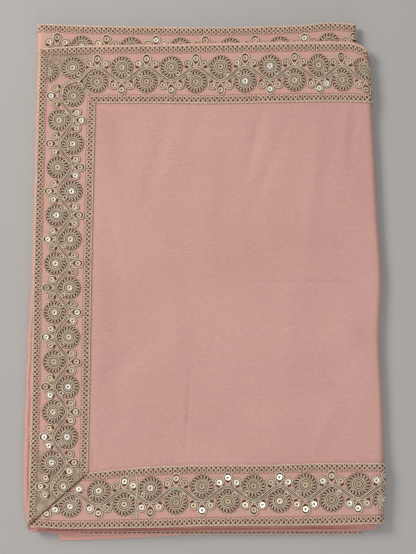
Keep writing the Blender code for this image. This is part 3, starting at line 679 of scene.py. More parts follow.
def top_columns(v):
    """The top layer, the right-hand fold and the tuck under it."""
    y_share = NEAR_MIDDLE + v * (FAR_MIDDLE - NEAR_MIDDLE)
    left = left_edge(y_share)
    start, radius, _ = fold_at(y_share)
    shares = np.sort(np.concatenate([np.arange(TOP_COLUMNS) / TOP_COLUMNS, CREASE_SHARES]))
    columns = [left + (start - left) * across for across in shares]
    columns += [start + PI * radius * i / ARC_STEPS for i in range(ARC_STEPS + 1)]
    columns.append(start + PI * radius + TUCK_LENGTH * 0.5)
    along = np.stack(columns, 1)
    y = near_edge(along) + v[:, None] * (far_edge(along) - near_edge(along))
    return panel_point(along, y, SHELL_OUT)


def raised(name, x, y):
    """Soft creases of a hidden layer, and the back layer's rise into the hollow under the top one."""
    bumps = np.maximum(0.0, relief(UNDER_CREASES, x if name != "back" else -x, y))
    if name != "back":
        return bumps * (0.9 if name == "wedge" else 0.5)
    inside = np.minimum(x + 166.0, np.minimum(238.0 - y, y + 246.0))
    rise = BACK_RISE * smooth(inside / 14.0) * smooth((158.0 - x) / 14.0) + 0.3 * bumps
    from_roll = x - through(ROLL_LEFT, share_up(y))
    line = GROOVE_AT + 0.9 * np.sin(y * 0.021) + 0.4 * np.sin(y * 0.13)
    depth = GROOVE_DEPTH * smooth((30.0 - y) / 120.0) + 0.25
    rise = rise - depth * np.exp(-(((from_roll - line) / GROOVE_WIDTH) ** 2))
    return np.minimum(rise, fine_height(x, y) - LAYER_GAP - LEVELS["back"])


def curl(x, y):
    """How the fold that shows along the near side stands up at its edge, with a hollow behind it."""
    inward = y - through(LAYER_EDGES["band"][0], x)
    ends = smooth((158.0 - x) / 10.0) * smooth((x + 166.0) / 10.0)
    uneven = 1.0 + 0.25 * np.sin(0.07 * x) + 0.15 * np.sin(0.23 * x + 1.0)
    lip = FOLD_CURL * np.exp(-((inward / 1.5) ** 2))
    return ends * uneven * (lip - 0.3 * np.exp(-(((inward - 4.0) / 2.0) ** 2)))


def flat_columns(name, x_from, x_to, shares, v):
    """One hidden layer between two folds."""
    columns = []
    for share in shares:
        x = x_from + (x_to - x_from) * share
        y = layer_edge(name, x, v)
        z = LEVELS[name] + raised(name, x, y)
        if name == "band":
            z = z + curl(x, y)
        columns.append(points_at(x, y, z))
    return np.stack(columns, 1)


def fold_columns(name_from, name_to, x_start, side, count, v):
    """A half-round fold between two hidden layers; side is 1 at the right and -1 at the left."""
    radius = (LEVELS[name_to] - LEVELS[name_from]) / 2
    columns = []
    for i in range(1, count):
        angle = PI * i / count
        x = x_start + side * abs(radius) * np.sin(angle)
        z = LEVELS[name_from] + radius - radius * np.cos(angle)
        share = smooth(i / count)
        y = (1 - share) * layer_edge(name_from, x, v) + share * layer_edge(name_to, x, v)
        columns.append(points_at(x, y, z))
    return np.stack(columns, 1)


def cloth_parts(v):
    """The whole panel in order: the top layer, then each hidden layer and the fold after it."""
    roll = through(ROLL_LEFT, v)
    wobble = sum(size * np.sin(2 * PI * waves * v + start) for size, waves, start in WAVERS)
    outer_left = roll + ROLL_INSET + wobble
    inner_left = roll + INNER_ROLL_INSET - 1.2 * wobble
    inner_end = roll + INNER_END_INSET
    outer_right = through(OUTER_RIGHT, v) - RIGHT_INSET
    inner_right = through(INNER_RIGHT, v) - INNER_RIGHT_INSET
    tuck_end = np.full_like(v, TUCK_END)
    wedge_shares = np.sort(np.concatenate([np.linspace(0.0, 1.0, 26), WEDGE_STEP]))
    roll_shares = np.concatenate([np.linspace(0.0, 0.028, 11), np.linspace(0.05, 1.0, 20)])
    layers = [
        ("wedge", tuck_end, outer_left, wedge_shares),
        ("back", outer_left, outer_right, roll_shares),
        ("chain", outer_right, inner_left, np.linspace(0.0, 1.0, 30)),
        ("turn", inner_left, inner_right, np.linspace(0.0, 1.0, 18)),
        ("band", inner_right, inner_end, np.linspace(0.0, 1.0, 20)),
    ]
    parts = [top_columns(v)]
    for i, (name, x_from, x_to, shares) in enumerate(layers):
        parts.append(flat_columns(name, x_from, x_to, shares, v))
        if name != "band":
            side = 1 if i % 2 else -1
            parts.append(fold_columns(name, layers[i + 1][0], x_to, side, FOLD_STEPS[i], v))
    return parts


def stole_cloth(materials):
    """The cloth as one sheet, thicker at its hem, with painted light: deeper pink where layers lie
    close, for light through and between them.
    """
    parts = cloth_parts(row_shares())
    middle = np.concatenate(parts, 1)
    lengths = np.linalg.norm(np.diff(middle, axis=0), axis=2)
    from_near = np.concatenate([np.zeros((1, middle.shape[1])), np.cumsum(lengths, 0)])
    from_edge = np.minimum(from_near, from_near[-1:] - from_near)
    top = parts[0].shape[1]
    hem = HEM_EXTRA * (1 - smooth((from_edge - HEM_WIDTH + 1.5) / 1.5))
    hem[:, :top] = 0.0
    hem[:, top : top + 2] *= 0.5
    # Painted light: the tone for the warmer, deeper pink, full on the hidden layers and the top
    # layer's edges, faint on the left roll
    bounce_paint = np.ones_like(hem)
    bounce_paint[:, :top] = 1 - smooth((from_edge[:, :top] - 0.5) / 2.0)
    bounce_paint *= 0.1 + 0.9 * smooth((middle[..., 0] + 176.0) / 10.0)
    return shell_mesh("stole_cloth", middle, SHELL + hem, bounce_paint, materials)


# Lace motifs, in plan, and the lace's materials by slot number
# Two of these slots hold painted shade: the dark sheets under the cords and under the chains
NET, CORD_SLOT, SEQUIN, SHADE_SLOT, DOUBLE_NET, CHAIN_SHADE_SLOT, STITCH = range(7)
# A sequin from rim to hole, as shares of its radius and heights
SEQUIN_PROFILE = [(1.0, 0.02), (1.0, 0.20), (0.9, 0.22), (0.6, 0.17), (0.32, 0.12), (0.28, -0.1)]
# The ridges that a covered rosette makes: its middle, its rings and its spokes, by reach
COVERED_MIDDLE = [(3.9, 0.0), (3.2, 0.5), (1.4, 0.55), (1.0, 0.35), (0.02, 0.35)]
COVERED_RINGS = (5.4, 7.0)
COVERED_SPOKE = np.array([7.8, 9.6, 11.4])
STITCH_LENGTH = 2.1
STITCH_GAP = 0.7


def round_at(centre, reach, angle):
    """Plan points at a reach and an angle from a centre, either of them a number or a list."""
    return np.stack([centre[0] + reach * np.cos(angle), centre[1] + reach * np.sin(angle)], -1)


def at_height(flat, height):
    """Plan points with a height, which is a number or a list."""
    return points_at(flat[:, 0], flat[:, 1], height)


def left_of(path):
    """Unit vectors to the left of a plan path."""
    way = np.gradient(path, axis=0)
    way /= np.linalg.norm(way, axis=1, keepdims=True)
    return np.stack([-way[:, 1], way[:, 0]], -1)


def add_rings(work, centre, rings, steps, slot, tone=0.0):
    """A round sheet about a centre, from the reach and height of each of its rings."""
    angle = full_turn(steps)
    grid = [at_height(round_at(centre, reach, angle), height) for reach, height in rings]
    work.add_grid(np.stack(grid), slot, False, True, tone=tone)


def add_shade_disc(work, centre, radius):
    """Painted shade: a dark disc under a cord wheel or loop, which shows through its holes as their
    shade.
    """
    rings = [(1.0, 0.02), (0.55, 0.09), (0.01, 0.10)]
    rings = [(radius * share, NET_TOP + lift) for share, lift in rings]
    add_rings(work, centre, rings, 20, SHADE_SLOT)


# Half of a petal's outline: distance from the wheel's centre, and half its width
PETAL = [(6.5, 0.0), (7.1, 0.66), (8.3, 1.05), (9.6, 1.38), (10.7, 1.34), (11.45, 0.8), (11.7, 0.0)]
# One loop of the chain edging, from base to base: along, across, and how high it rides
CHAIN_LOOP = [
    (-2.40, -3.15, 0.10), (-1.50, -2.70, 0.10), (-0.55, -1.60, 0.25), (0.60, -0.45, 0.45),
    (1.60, 0.75, 0.30), (1.75, 2.05, 0.20), (0.95, 3.10, 0.15), (-0.95, 3.10, 0.15),
    (-1.75, 2.05, 0.10), (-1.60, 0.75, 0.05), (-0.60, -0.45, 0.0), (0.55, -1.60, 0.0),
    (1.50, -2.70, 0.05),
]


def chain_path(low, high, middle, side):
    """The looping cord of a chain edging, a little uneven from loop to loop."""
    loops = max(1, int(round((high - low) / CHAIN_PITCH)))
    pitch = (high - low) / loops
    cell = np.array(CHAIN_LOOP)
    places, heights = [], []
    for i in range(loops):
        size = 1.0 + 0.07 * math.sin(i * 1.7) + random.uniform(-0.05, 0.05)
        sway = random.uniform(-0.2, 0.2)
        s = low + pitch * (i + 0.5) + cell[:, 0] * pitch / CHAIN_PITCH + sway * (cell[:, 1] > 0)
        w = middle + side * (cell[:, 1] * np.where(cell[:, 1] > 0, size, 1.0))
        places.append(np.stack([s, w], -1))
        heights.append(cell[:, 2])
    return np.concatenate(places), np.concatenate(heights)


def add_shade_band(work, path, half_width, slot, strips=2):
    """Painted shade: a dark strip under cords that run side by side, which shows between them as their
    shade.
    """
    left = left_of(path)
    rows = []
    for share in np.linspace(-1.0, 1.0, strips + 1):
        flat = path + left * share * half_width
        rows.append(at_height(flat, NET_TOP + 0.07 - 0.05 * abs(share)))
    work.add_grid(np.stack(rows), slot)


def add_stitches(work, low, high, across, height, slot):
    """A row of short machine stitches."""
    for along in np.arange(low, high, STITCH_LENGTH + STITCH_GAP):
        path = [(along + STITCH_LENGTH * share, across) for share in (0.0, 0.5, 1.0)]
        work.add_cord(path, height + np.array([-0.1, 0.1, -0.1]), 0.24, slot, sides=4)


def add_chain(work, low, high, middle, side):
    """A looped cord edging with its rings towards side, and the strand that ties its feet."""
    add_stitches(work, low, high, middle + side * CHAIN_STITCHES, NET_TOP + 0.1, STITCH)
    s = np.arange(low, high, 1.2)
    # Painted shade: a brownish band under the chain, which shows round its rings as their shade
    shade_strip = np.column_stack([s, np.full(len(s), middle)])
    add_shade_band(work, shade_strip, CHAIN_SHADE_REACH, CHAIN_SHADE_SLOT, 6)
    path, heights = chain_path(low, high, middle, side)
    work.add_cord(path, NET_TOP + 0.42 + heights, CORD, CORD_SLOT)
    w = middle - side * (CHAIN_FEET + 0.22 * np.sin(s * 2 * PI / CHAIN_PITCH))
    work.add_cord(np.stack([s, w], -1), NET_TOP + 0.6, 0.42, CORD_SLOT)


def add_edgings(work, low, high):
    """The chains along both edges of a strip."""
    add_chain(work, low, high, CHAIN_WIDTH / 2, 1)
    add_chain(work, low, high, LACE_WIDTH - CHAIN_WIDTH / 2, -1)


def add_sequin(work, centre, radius):
    """A dished disc with a hole, tipped a little."""
    lean = random.uniform(0.0, 0.11)
    lean_way = random.uniform(0.0, 2 * PI)
    # Part random tone, part painted reflection: the glint share raises the tone and makes some sequins
    # fully bright
    tone = random.random() * work.bright
    if random.random() < 0.25 * work.bright:
        tone = 1.0
    angle = full_turn(16)
    rings = []
    for share, height in SEQUIN_PROFILE:
        reach = radius * share
        tip = reach * np.cos(angle - lean_way) * lean
        rings.append((reach, NET_TOP + SEQUIN_LIFT + height + tip))
    add_rings(work, centre, rings, 16, SEQUIN, tone)


def petal_ring(centre):
    """The petals' looped cord, as one closed path for each petal."""
    half = np.array(PETAL)
    loop = np.concatenate([half, half[-2:0:-1] * [1.0, -1.0]])
    turn = random.uniform(0.0, 2 * PI)
    petals = []
    for i in range(PETALS):
        size = 1.0 + random.uniform(-0.02, 0.03)
        reach = loop[:, 0] * size
        around = turn + 2 * PI * i / PETALS + loop[:, 1] / reach + PETAL_LEAN * (reach - 9.0)
        petals.append(round_at(centre, reach, around))
    return petals


def add_petal(work, petal):
    heights = NET_TOP + 0.55 + 0.12 * np.cos(np.arange(len(petal)))
    work.add_cord(petal, heights, FINE_CORD, CORD_SLOT, closed=True, sides=4)


def add_half_rosette(work, centre):
    """The inner half of a wheel of petals that runs under the chain edging at a corner."""
    for petal in petal_ring(centre):
        if petal[:, 1].mean() > centre[1] + 1.5:
            add_petal(work, petal)
    angle = np.linspace(0.04 * PI, 0.96 * PI, 12)
    # Painted shade under the half wheel's petals
    rows = [at_height(round_at(centre, reach, angle), NET_TOP + 0.07) for reach in (5.9, 11.6)]
    work.add_grid(np.stack(rows), SHADE_SLOT)
    for reach in (3.6, 5.2):
        work.add_cord(round_at(centre, reach, angle), NET_TOP + 0.6, RING_CORD, CORD_SLOT)


def add_rosette(work, centre, knot_side):
    """A wheel of looped petals round a ringed sequin, with a small knot on the vine's side."""
    for petal in petal_ring(centre):
        add_petal(work, petal)
    # Painted shade under the petals and rings
    add_shade_disc(work, centre, ROSETTE_SHADE)
    for radius, height in RINGS:
        ring = round_at(centre, radius, full_turn(22))
        work.add_cord(ring, NET_TOP + height, RING_CORD, CORD_SLOT, closed=True)
    add_sequin(work, centre, SEQUIN_RADIUS)
    knot = (centre[0] + knot_side * KNOT_OFFSET, centre[1] + knot_side * KNOT_OFFSET)
    angle = np.linspace(0.0, 2 * PI * 1.25, 15) + PI / 4
    spiral = round_at(knot, np.linspace(2.3, 1.5, 15), angle)
    work.add_cord(spiral, NET_TOP + 1.05, 0.45, CORD_SLOT)


def add_trefoil(work, along, middle, side, clear):
    """Three sequins in cord loops on the far side of the vine from a rosette."""
    for hand in (-1, 1):
        centre = (along + hand * LOBE_SIDE, middle + side * LOBE_SIDE_OFFSET)
        if clear(*centre) < LOBE_ROOM:
            continue
        sweep = np.linspace(-0.75 * PI, 0.95 * PI, 16)
        radius = LOBE_RADIUS * (1 - 0.08 * np.linspace(0.0, 1.0, 16))
        path = round_at(centre, radius, (PI / 2 + hand * sweep) * side)
        # Painted shade under the side loop
        add_shade_disc(work, centre, LOBE_SHADE + 0.1)
        work.add_cord(path, NET_TOP + 0.75, LOBE_CORD, CORD_SLOT)
        add_sequin(work, centre, SEQUIN_RADIUS * 0.93)
    tip = middle + side * LOBE_MIDDLE_OFFSET
    if clear(along, tip) < LOBE_ROOM:
        return
    foot = middle + side * (VINE_SWING + 1.2)
    sweep = np.linspace(-0.78 * PI, 0.78 * PI, 15)
    s = along + (LOBE_RADIUS - 0.1) * np.sin(sweep)
    w = tip + side * (LOBE_RADIUS - 0.1) * LOBE_STRETCH * np.cos(sweep)
    s = np.concatenate([[along - 0.4], s, [along + 0.4]])
    w = np.concatenate([[foot], w, [foot]])
    # Painted shade under the middle loop
    add_shade_disc(work, (along, tip), LOBE_SHADE)
    work.add_cord(np.stack([s, w], -1), NET_TOP + 0.8, LOBE_CORD, CORD_SLOT)
    add_sequin(work, (along, tip), SEQUIN_RADIUS * 0.93)


def add_vine(work, path, spread):
    """Three cords side by side along a path. The outer two stand out."""
    left = left_of(path)
    # Painted shade between and under the three cords
    add_shade_band(work, path, VINE_SHADE, SHADE_SLOT)
    count = np.arange(len(path))
    for strand, radius in ((-1, 0.52), (0, 0.36), (1, 0.52)):
        rise = NET_TOP + 0.7 + 0.1 * np.sin(count * 2.3 + strand * 2.0) - 0.2 * (strand == 0)
        work.add_cord(path + left * (strand * spread)[:, None], rise, radius, CORD_SLOT)


def vine_path(motifs, stray, low, high):
    """The vine's winding between the rosettes, and how far apart its cords lie."""
    first, period, _ = motifs
    s = np.arange(low, high, 2.2)
    phase = 2 * PI * (s - first) / period
    w = LACE_MIDDLE + through(stray, s) + VINE_SWING * np.cos(phase)
    return np.column_stack([s, w]), 1.15 + 0.55 * np.abs(np.sin(phase))


def add_motifs(work, motifs, stray, nudges, vine_ends, high, clear):
    """All the motifs that are clear of the mitres. One that only touches a mitre is left whole."""
    first, period, count = motifs
    for half_step in range(-4, 2 * count + 5):
        shift = nudges.get(half_step, (0.0, 0.0))
        if shift is None:
            continue
        along = first + period * half_step / 2 + shift[0]
        if along > high + 8.0:
            continue
        middle = LACE_MIDDLE + float(through(stray, along)) + shift[1]
        side = 1 if half_step % 2 == 0 else -1
        centre = (along, middle - side * ROSETTE_OFFSET)
        room = clear(*centre)
        if room > ROSETTE_ROOM:
            work.uncut = WHOLE_ROOM[0] < room < WHOLE_ROOM[1]
            add_rosette(work, centre, side)
            work.uncut = False
        add_trefoil(work, along, middle, side, clear)
    add_vine(work, *vine_path(motifs, stray, *vine_ends))


def net_grid(low, high, steps_along, across):
    """Rows across and columns along, at the net's top. Low and high hold each row's ends."""
    share = np.linspace(0.0, 1.0, steps_along)
    rows = [points_at(low[w] + share * (high[w] - low[w]), w, NET_TOP) for w in across]
    return np.stack(rows)


# The mitred corners
def mitre_line(place, along):
    outer = place(along, 0.0, 0.0)
    inner = place(along + LACE_WIDTH, LACE_WIDTH, 0.0)
    return np.array([outer[:2], [float(left_inner(inner[1])), inner[1]]])


def side_of(line, points):
    """Distance of points to the left of a line in plan, in millimetres."""
    way = line[1] - line[0]
    way = way / np.linalg.norm(way)
    return way[0] * (points[..., 1] - line[0][1]) - way[1] * (points[..., 0] - line[0][0])


def on_mitre(across, mitre, place, guess):
    low, high = guess - 100.0, guess + 100.0
    low_side = side_of(mitre, place(low, across, 0.0))
    for _ in range(40):
        middle = (low + high) / 2
        if (side_of(mitre, place(middle, across, 0.0)) > 0) == (low_side > 0):
            low = middle
        else:
            high = middle
    return (low + high) / 2


def past_line(mitre, sign):
    return lambda points: sign * side_of(mitre, points) > MITRE_GAP


def room_to(place, limits):
    """Distance from a plan place to the nearest of some mitres, given as (line, sign)."""

    def clear(along, across):
        at = place(along, across, NET_TOP)
        return min(float(sign * side_of(line, at)) for line, sign in limits)

    return clear


def lifted(place, mitre):
    """A strip's place with its mitred end raised a little, where it is folded over the other strip."""

    def placed(along, across, out):
        points = place(along, across, out)
        distance = side_of(mitre, points)
        points[..., 2] += MITRE_LIFT * np.exp(-((distance / MITRE_LIFT_WIDTH) ** 2))
        return points

    return placed


def add_fold_edge(work, ends, across):
    """The rolled edge of net along a mitre, and beside it a dark cord of painted shadow, which is left
    whole.
    """
    work.add_cord(np.stack([ends + 0.8, across], -1), NET_TOP + 0.05, 0.55, DOUBLE_NET)
    work.uncut = True
    # Painted shadow: the dark cord stands in for the shadow beside the fold
    painted_shadow = np.stack([ends - 0.9, across], -1)[1:-1]
    work.add_cord(painted_shadow, NET_TOP + 0.02, 0.42, SHADE_SLOT)
    work.uncut = False


def add_double_net(work, from_s, to_s, across):
    """The doubled net at a join, as a sheet just over the single net."""
    share = np.linspace(0.0, 1.0, 12)
    rows = []
    for s0, s1, w in zip(from_s, to_s, across):
        rows.append(points_at(s0 + share * (s1 - s0), w, NET_TOP + 0.015))
    work.add_grid(np.stack(rows), DOUBLE_NET)


def mitre_ends(mitre, place, guess):
    """Where each row of a strip's net meets a mitre, by its place across."""
    return {w: on_mitre(w, mitre, place, guess) for w in NET_ROWS}


def long_strip(name, place, mitre, sign, motifs, stray, nudges, vine_from, materials):
    """A long border's lace, from its mitred corner round the right-hand fold."""
    end = FOLD_START + LACE_TURN * FOLD_RADIUS
    work = Work()
    start = mitre_ends(mitre, place, mitre[0][0])
    grid = net_grid(start, dict.fromkeys(NET_ROWS, end), 110, NET_ROWS)
    doubled = smooth((DOUBLE_TO - grid[..., 0]) / 14.0) if name == "lace_far_work" else 0.0
    work.add_sheet(grid, NET_THICK, NET, doubled)
    work.bright = STRIP_GLINT_PAINT[name]
    add_edgings(work, min(start.values()), end)
    clear = room_to(place, [(mitre, sign)])
    add_motifs(work, motifs, stray, nudges, (vine_from, end + 2.0), end, clear)
    if name == "lace_near_work":
        add_join(work, NEAR_JOIN)
    return work.make(name, place, materials, [past_line(mitre, sign)], end)


def add_join(work, along):
    """The lapped join of two lengths of lace: a doubled band of net with a corded edge."""
    across = np.linspace(*JOIN_ACROSS, 12)
    ends = along + 0.7 * np.sin(across * 0.19)
    add_double_net(work, ends - JOIN_LAP, ends, across)
    wave = np.linspace(*JOIN_ACROSS, 34)
    path = np.stack([along + 0.7 * np.sin(wave * 0.19) + 0.4 * np.sin(wave * 1.4), wave], -1)
    work.add_cord(path, NET_TOP + 0.7, 0.5, CORD_SLOT)


def left_across(x, y):
    """Where a plan place lies across the left strip."""
    return LACE_WIDTH * (x - left_edge(y)) / (left_inner(y) - left_edge(y))


def add_covered_wheel(work, x, y):
    """A rosette of the folded-under lace, which shows as low ridges in the doubled net."""
    centre = (y, float(left_across(x, y)))
    middle = [(reach, NET_TOP + height) for reach, height in COVERED_MIDDLE]
    add_rings(work, centre, middle, PETALS, DOUBLE_NET)
    for reach in COVERED_RINGS:
        ring = round_at(centre, reach, full_turn(22))
        work.add_cord(ring, NET_TOP, 0.45, DOUBLE_NET, closed=True)
    for angle in full_turn(PETALS):
        spoke = round_at(centre, COVERED_SPOKE, angle)
        work.add_cord(spoke, NET_TOP, 0.5, DOUBLE_NET, sides=4)


def add_corner_vine(work):
    """The vine's turn round the far left corner, laid out in plan."""
    corner = np.array(CORNER_VINE)
    count = np.arange(len(corner))
    step = np.arange(0.0, len(corner) - 1.0, 0.3)
    x = through(np.column_stack([count, corner[:, 0]]), step)
    y = through(np.column_stack([count, corner[:, 1]]), step)
    add_vine(work, np.column_stack([y, left_across(x, y)]), np.full(len(y), 1.25))


def left_strip(far_mitre, near_mitre, materials):
    """The short border's lace between its two mitred corners, with doubled net at both."""
    work = Work()
    low = mitre_ends(near_mitre, left_place, near_mitre[0][1])
    high = mitre_ends(far_mitre, left_place, far_mitre[0][1])
    work.bright = STRIP_GLINT_PAINT["lace_left_work"]
    grid = net_grid(low, high, 130, NET_ROWS)
    start, slant, soft = DOUBLE_BELOW
    below = smooth((start - slant * grid[..., 1] - grid[..., 0]) / soft)
    start, slant, soft = DOUBLE_ABOVE
    above = smooth((grid[..., 0] - start - slant * grid[..., 1]) / soft)
    work.add_sheet(grid, NET_THICK, NET, np.maximum(below, above))
    bottom, top = min(low.values()), max(high.values())
    add_edgings(work, bottom, top)
    clear = room_to(left_place, [(far_mitre, -1), (near_mitre, 1)])
    first, period, _ = LEFT_MOTIFS
    crest = first + 7.5 * period
    add_motifs(work, LEFT_MOTIFS, NO_STRAY, LEFT_NUDGES, (bottom, crest), top, clear)
    for x, y in COVERED_WHEELS:
        add_covered_wheel(work, x, y)
    work.uncut = True
    add_corner_vine(work)
    add_half_rosette(work, HALF_ROSETTE_AT)
    work.uncut = False
    add_fold_edge(work, np.array(list(low.values())), NET_ROWS)
    keep = [past_line(far_mitre, -1), past_line(near_mitre, 1)]
    return work.make("lace_left_work", lifted(left_place, near_mitre), materials, keep)


def back_lace(materials):
    """The second turn's far border, as far as it shows and a little way under the top layer."""
    work = Work()
    low, high = BACK_ENDS[0] - BACK_TURN, BACK_ENDS[1] + BACK_TURN

    def hidden_from(x):
        return back_edge(x) - BACK_MARGIN - through(FAR_EDGE, x) + BACK_HIDDEN

    def shown(points):
        return points[:, 1] > through(FAR_EDGE, points[:, 0]) - BACK_HIDDEN

    s = np.linspace(low, high, 80)
    rows = [points_at(s, share * hidden_from(s), NET_TOP) for share in np.linspace(0.0, 1.0, 8)]
    work.add_sheet(np.stack(rows), NET_THICK, NET)
    add_chain(work, low, high, CHAIN_WIDTH / 2, 1)
    first, period, count = BACK_MOTIFS
    for half_step in range(-2, 2 * count + 2):
        along = first + period * half_step / 2
        if not low - 4.0 < along < high + 4.0:
            continue
        if half_step % 2 == 0:
            add_rosette(work, (along, LACE_MIDDLE - ROSETTE_OFFSET), 1)
        else:
            add_trefoil(work, along, LACE_MIDDLE, -1, lambda s, w: 60.0)
    add_vine(work, *vine_path(BACK_MOTIFS, NO_STRAY, low, high))
    return work.make("lace_back_work", back_place, materials, [shown], high)


def under_chain(materials):
    """The chain edging of a lower layer, on its down-facing side."""
    work = Work()
    low, high = UNDER_ENDS
    s = np.linspace(low, high, 60)
    net = [points_at(s, w, 0.35) for w in UNDER_NET_ROWS]
    work.add_sheet(np.stack(net), 0.3, NET)
    # Painted shade on this cord falls on its sides only, so the face seen from above stays light
    work.both_sides = True
    path, heights = chain_path(low, high, UNDER_MIDDLE, -1)
    work.add_cord(path, 0.8 + heights * 0.4, CORD, CORD_SLOT)
    # Painted shade: a dark band under the chain's loops
    shade_strip = [points_at(s, w, 0.85) for w in UNDER_SHADE_ROWS]
    work.add_sheet(np.stack(shade_strip), 0.15, CHAIN_SHADE_SLOT)
    return work.make("lace_under_work", under_place, materials)


def hem_place(along, across, out):
    """On the lowest layer's top, inwards from its near edge."""
    y = through(LAYER_EDGES["wedge"][0], along) + across
    z = LEVELS["wedge"] + raised("wedge", along, y) + (SHELL + HEM_EXTRA) / 2 + out
    return points_at(along, y, z)


def hem_stitches(materials):
    work = Work()
    add_stitches(work, *HEM_STITCH_ENDS, 3.4, 0.06, 0)
    return work.make("hem_stitches", hem_place, materials)


# Colours
WHITE = (1.0, 1.0, 1.0)
CLOTH_LOW = (0.70, 0.385, 0.325)
CLOTH_HIGH = (0.76, 0.43, 0.365)
# Painted light: the warmer, deeper pink that stands in for light through and between close layers
CLOTH_BOUNCE_PAINT = (0.90, 0.47, 0.385)
NET_DEEP = (0.52, 0.27, 0.22)
NET_THREAD = (0.72, 0.42, 0.34)
DOUBLE_DEEP = (0.32, 0.22, 0.15)
DOUBLE_THREAD = (0.56, 0.43, 0.31)
# Painted shade: the dark colours of the sheets under the cords
SHADE_DARK = (0.07, 0.026, 0.011)
SHADE_LIGHT = (0.15, 0.065, 0.032)
# Painted shade: the colours of the band under the chains
CHAIN_SHADE_DARK = (0.16, 0.065, 0.042)
CHAIN_SHADE_LIGHT = (0.34, 0.15, 0.10)
CORD_DARK = (0.90, 0.66, 0.46)
CORD_LIGHT = (1.0, 0.85, 0.67)
# Painted shade: the brown of a cord's shaded sides
CORD_SIDE_SHADE = (0.40, 0.24, 0.14)
STITCH_DARK = (0.16, 0.07, 0.04)
STITCH_LIGHT = (0.34, 0.18, 0.12)
HEM_THREAD_DARK = (0.62, 0.48, 0.38)
HEM_THREAD_LIGHT = (0.86, 0.72, 0.58)
SEQUIN_DULL = (0.50, 0.36, 0.22)
SEQUIN_GOLD = (0.76, 0.61, 0.42)
# Painted reflection: the near-white of the brightest sequins
SEQUIN_GLINT_PAINT = (0.90, 0.84, 0.72)


# Materials
def new_material(name, roughness, metallic=0.0):
    material = bpy.data.materials.new(name)
    material.use_nodes = True
    shader = material.node_tree.nodes["Principled BSDF"]
    shader.inputs["Roughness"].default_value = roughness
    shader.inputs["Metallic"].default_value = metallic
    return material, material.node_tree, shader


def add_node(tree, kind, **settings):
    """A new node with its sockets and settings. In a socket's name _ stands for a space."""
    node = tree.nodes.new(kind)
    for key, value in settings.items():
        socket = key.replace("_", " ")
        if socket in node.inputs:
            node.inputs[socket].default_value = value
        else:
            setattr(node, key, value)
    return node


def mapped(tree, source=None, scale=(1.0, 1.0, 1.0), turn=0.0):
    """Coordinates scaled and turned about z in degrees: the object's own unless others are given."""
    if source is None:
        source = tree.nodes.new("ShaderNodeTexCoord").outputs["Object"]
    rotation = (0.0, 0.0, math.radians(turn))
    mapping = add_node(tree, "ShaderNodeMapping", Scale=scale, Rotation=rotation)
    tree.links.new(source, mapping.inputs["Vector"])
    return mapping.outputs["Vector"]


def texture(tree, kind, vector, **settings):
    """The value of a texture at the given coordinates."""
    node = add_node(tree, "ShaderNodeTex" + kind, **settings)
    tree.links.new(vector, node.inputs["Vector"])
    return node.outputs["Fac"]


def tone_of(tree):
    """The tone that the mesh holds at each point: painted light on the cloth and the cords, partly
    painted reflection on the sequins, and where the net lies double.
    """
    return add_node(tree, "ShaderNodeAttribute", attribute_name="tone").outputs["Fac"]


def combined(tree, operation, first, second):
    node = add_node(tree, "ShaderNodeMath", operation=operation)
    tree.links.new(first, node.inputs[0])
    tree.links.new(second, node.inputs[1])
    return node.outputs["Value"]


def ramp_of(tree, factor, stops):
    ramp = tree.nodes.new("ShaderNodeValToRGB")
    elements = ramp.color_ramp.elements
    while len(elements) < len(stops):
        elements.new(0.5)
    for element, (place, colour) in zip(elements, stops):
        element.position = place
        element.color = (*colour, 1.0)
    tree.links.new(factor, ramp.inputs["Fac"])
    return ramp.outputs["Color"]


def finish_material(tree, shader, colour, height, strength, distance):
    """Links the colour, and a bump from a height."""
    tree.links.new(colour, shader.inputs["Base Color"])
    bump = add_node(tree, "ShaderNodeBump", Strength=strength, Distance=distance)
    tree.links.new(height, bump.inputs["Height"])
    tree.links.new(bump.outputs["Normal"], shader.inputs["Normal"])


def mix_colours(tree, factor, first, second, kind="MIX"):
    mix = add_node(tree, "ShaderNodeMix", data_type="RGBA", blend_type=kind)
    if isinstance(factor, float):
        mix.inputs[0].default_value = factor
    else:
        tree.links.new(factor, mix.inputs[0])
    sockets = [s for s in mix.inputs if s.type == "RGBA"]
    for socket, value in zip(sockets, (first, second)):
        if isinstance(value, tuple):
            socket.default_value = (*value, 1.0)
        else:
            tree.links.new(value, socket)
    return [s for s in mix.outputs if s.type == "RGBA"][0]


def multiplied(tree, first, *others):
    for other in others:
        first = mix_colours(tree, 1.0, first, other, "MULTIPLY")
    return first


def cloth_material():
    """Peach cloth with fine uneven weft ribs and a soft sheen."""
    material, tree, shader = new_material("ribbed_cloth", 0.55)
    shader.inputs["Sheen Weight"].default_value = 0.25
    shader.inputs["Sheen Roughness"].default_value = 0.4
    plain = mapped(tree)
    uneven = {"Distortion": 2.2, "Detail": 2.0, "Detail_Scale": 0.35}
    ribs = texture(tree, "Wave", plain, Scale=165.0, bands_direction="Y", **uneven)
    fine = mapped(tree, scale=(260.0, 1500.0, 900.0))
    threads = texture(tree, "Noise", fine, Scale=1.0, Detail=3.0)
    broad = texture(tree, "Noise", plain, Scale=9.0, Detail=2.0)
    tint = ramp_of(tree, broad, [(0.3, CLOTH_LOW), (0.7, CLOTH_HIGH)])
    grain = ramp_of(tree, threads, [(0.25, (0.80, 0.77, 0.77)), (0.7, WHITE)])
    lines = ramp_of(tree, ribs, [(0.0, (0.87, 0.84, 0.84)), (0.6, WHITE)])
    # Painted light: where the tone says so, the cloth takes the warmer, deeper pink of close layers
    tint = mix_colours(tree, tone_of(tree), tint, CLOTH_BOUNCE_PAINT)
    colour = multiplied(tree, tint, grain, lines)
    weave = combined(tree, "ADD", ribs, threads)
    finish_material(tree, shader, colour, weave, 0.35, 0.0003)
    return material


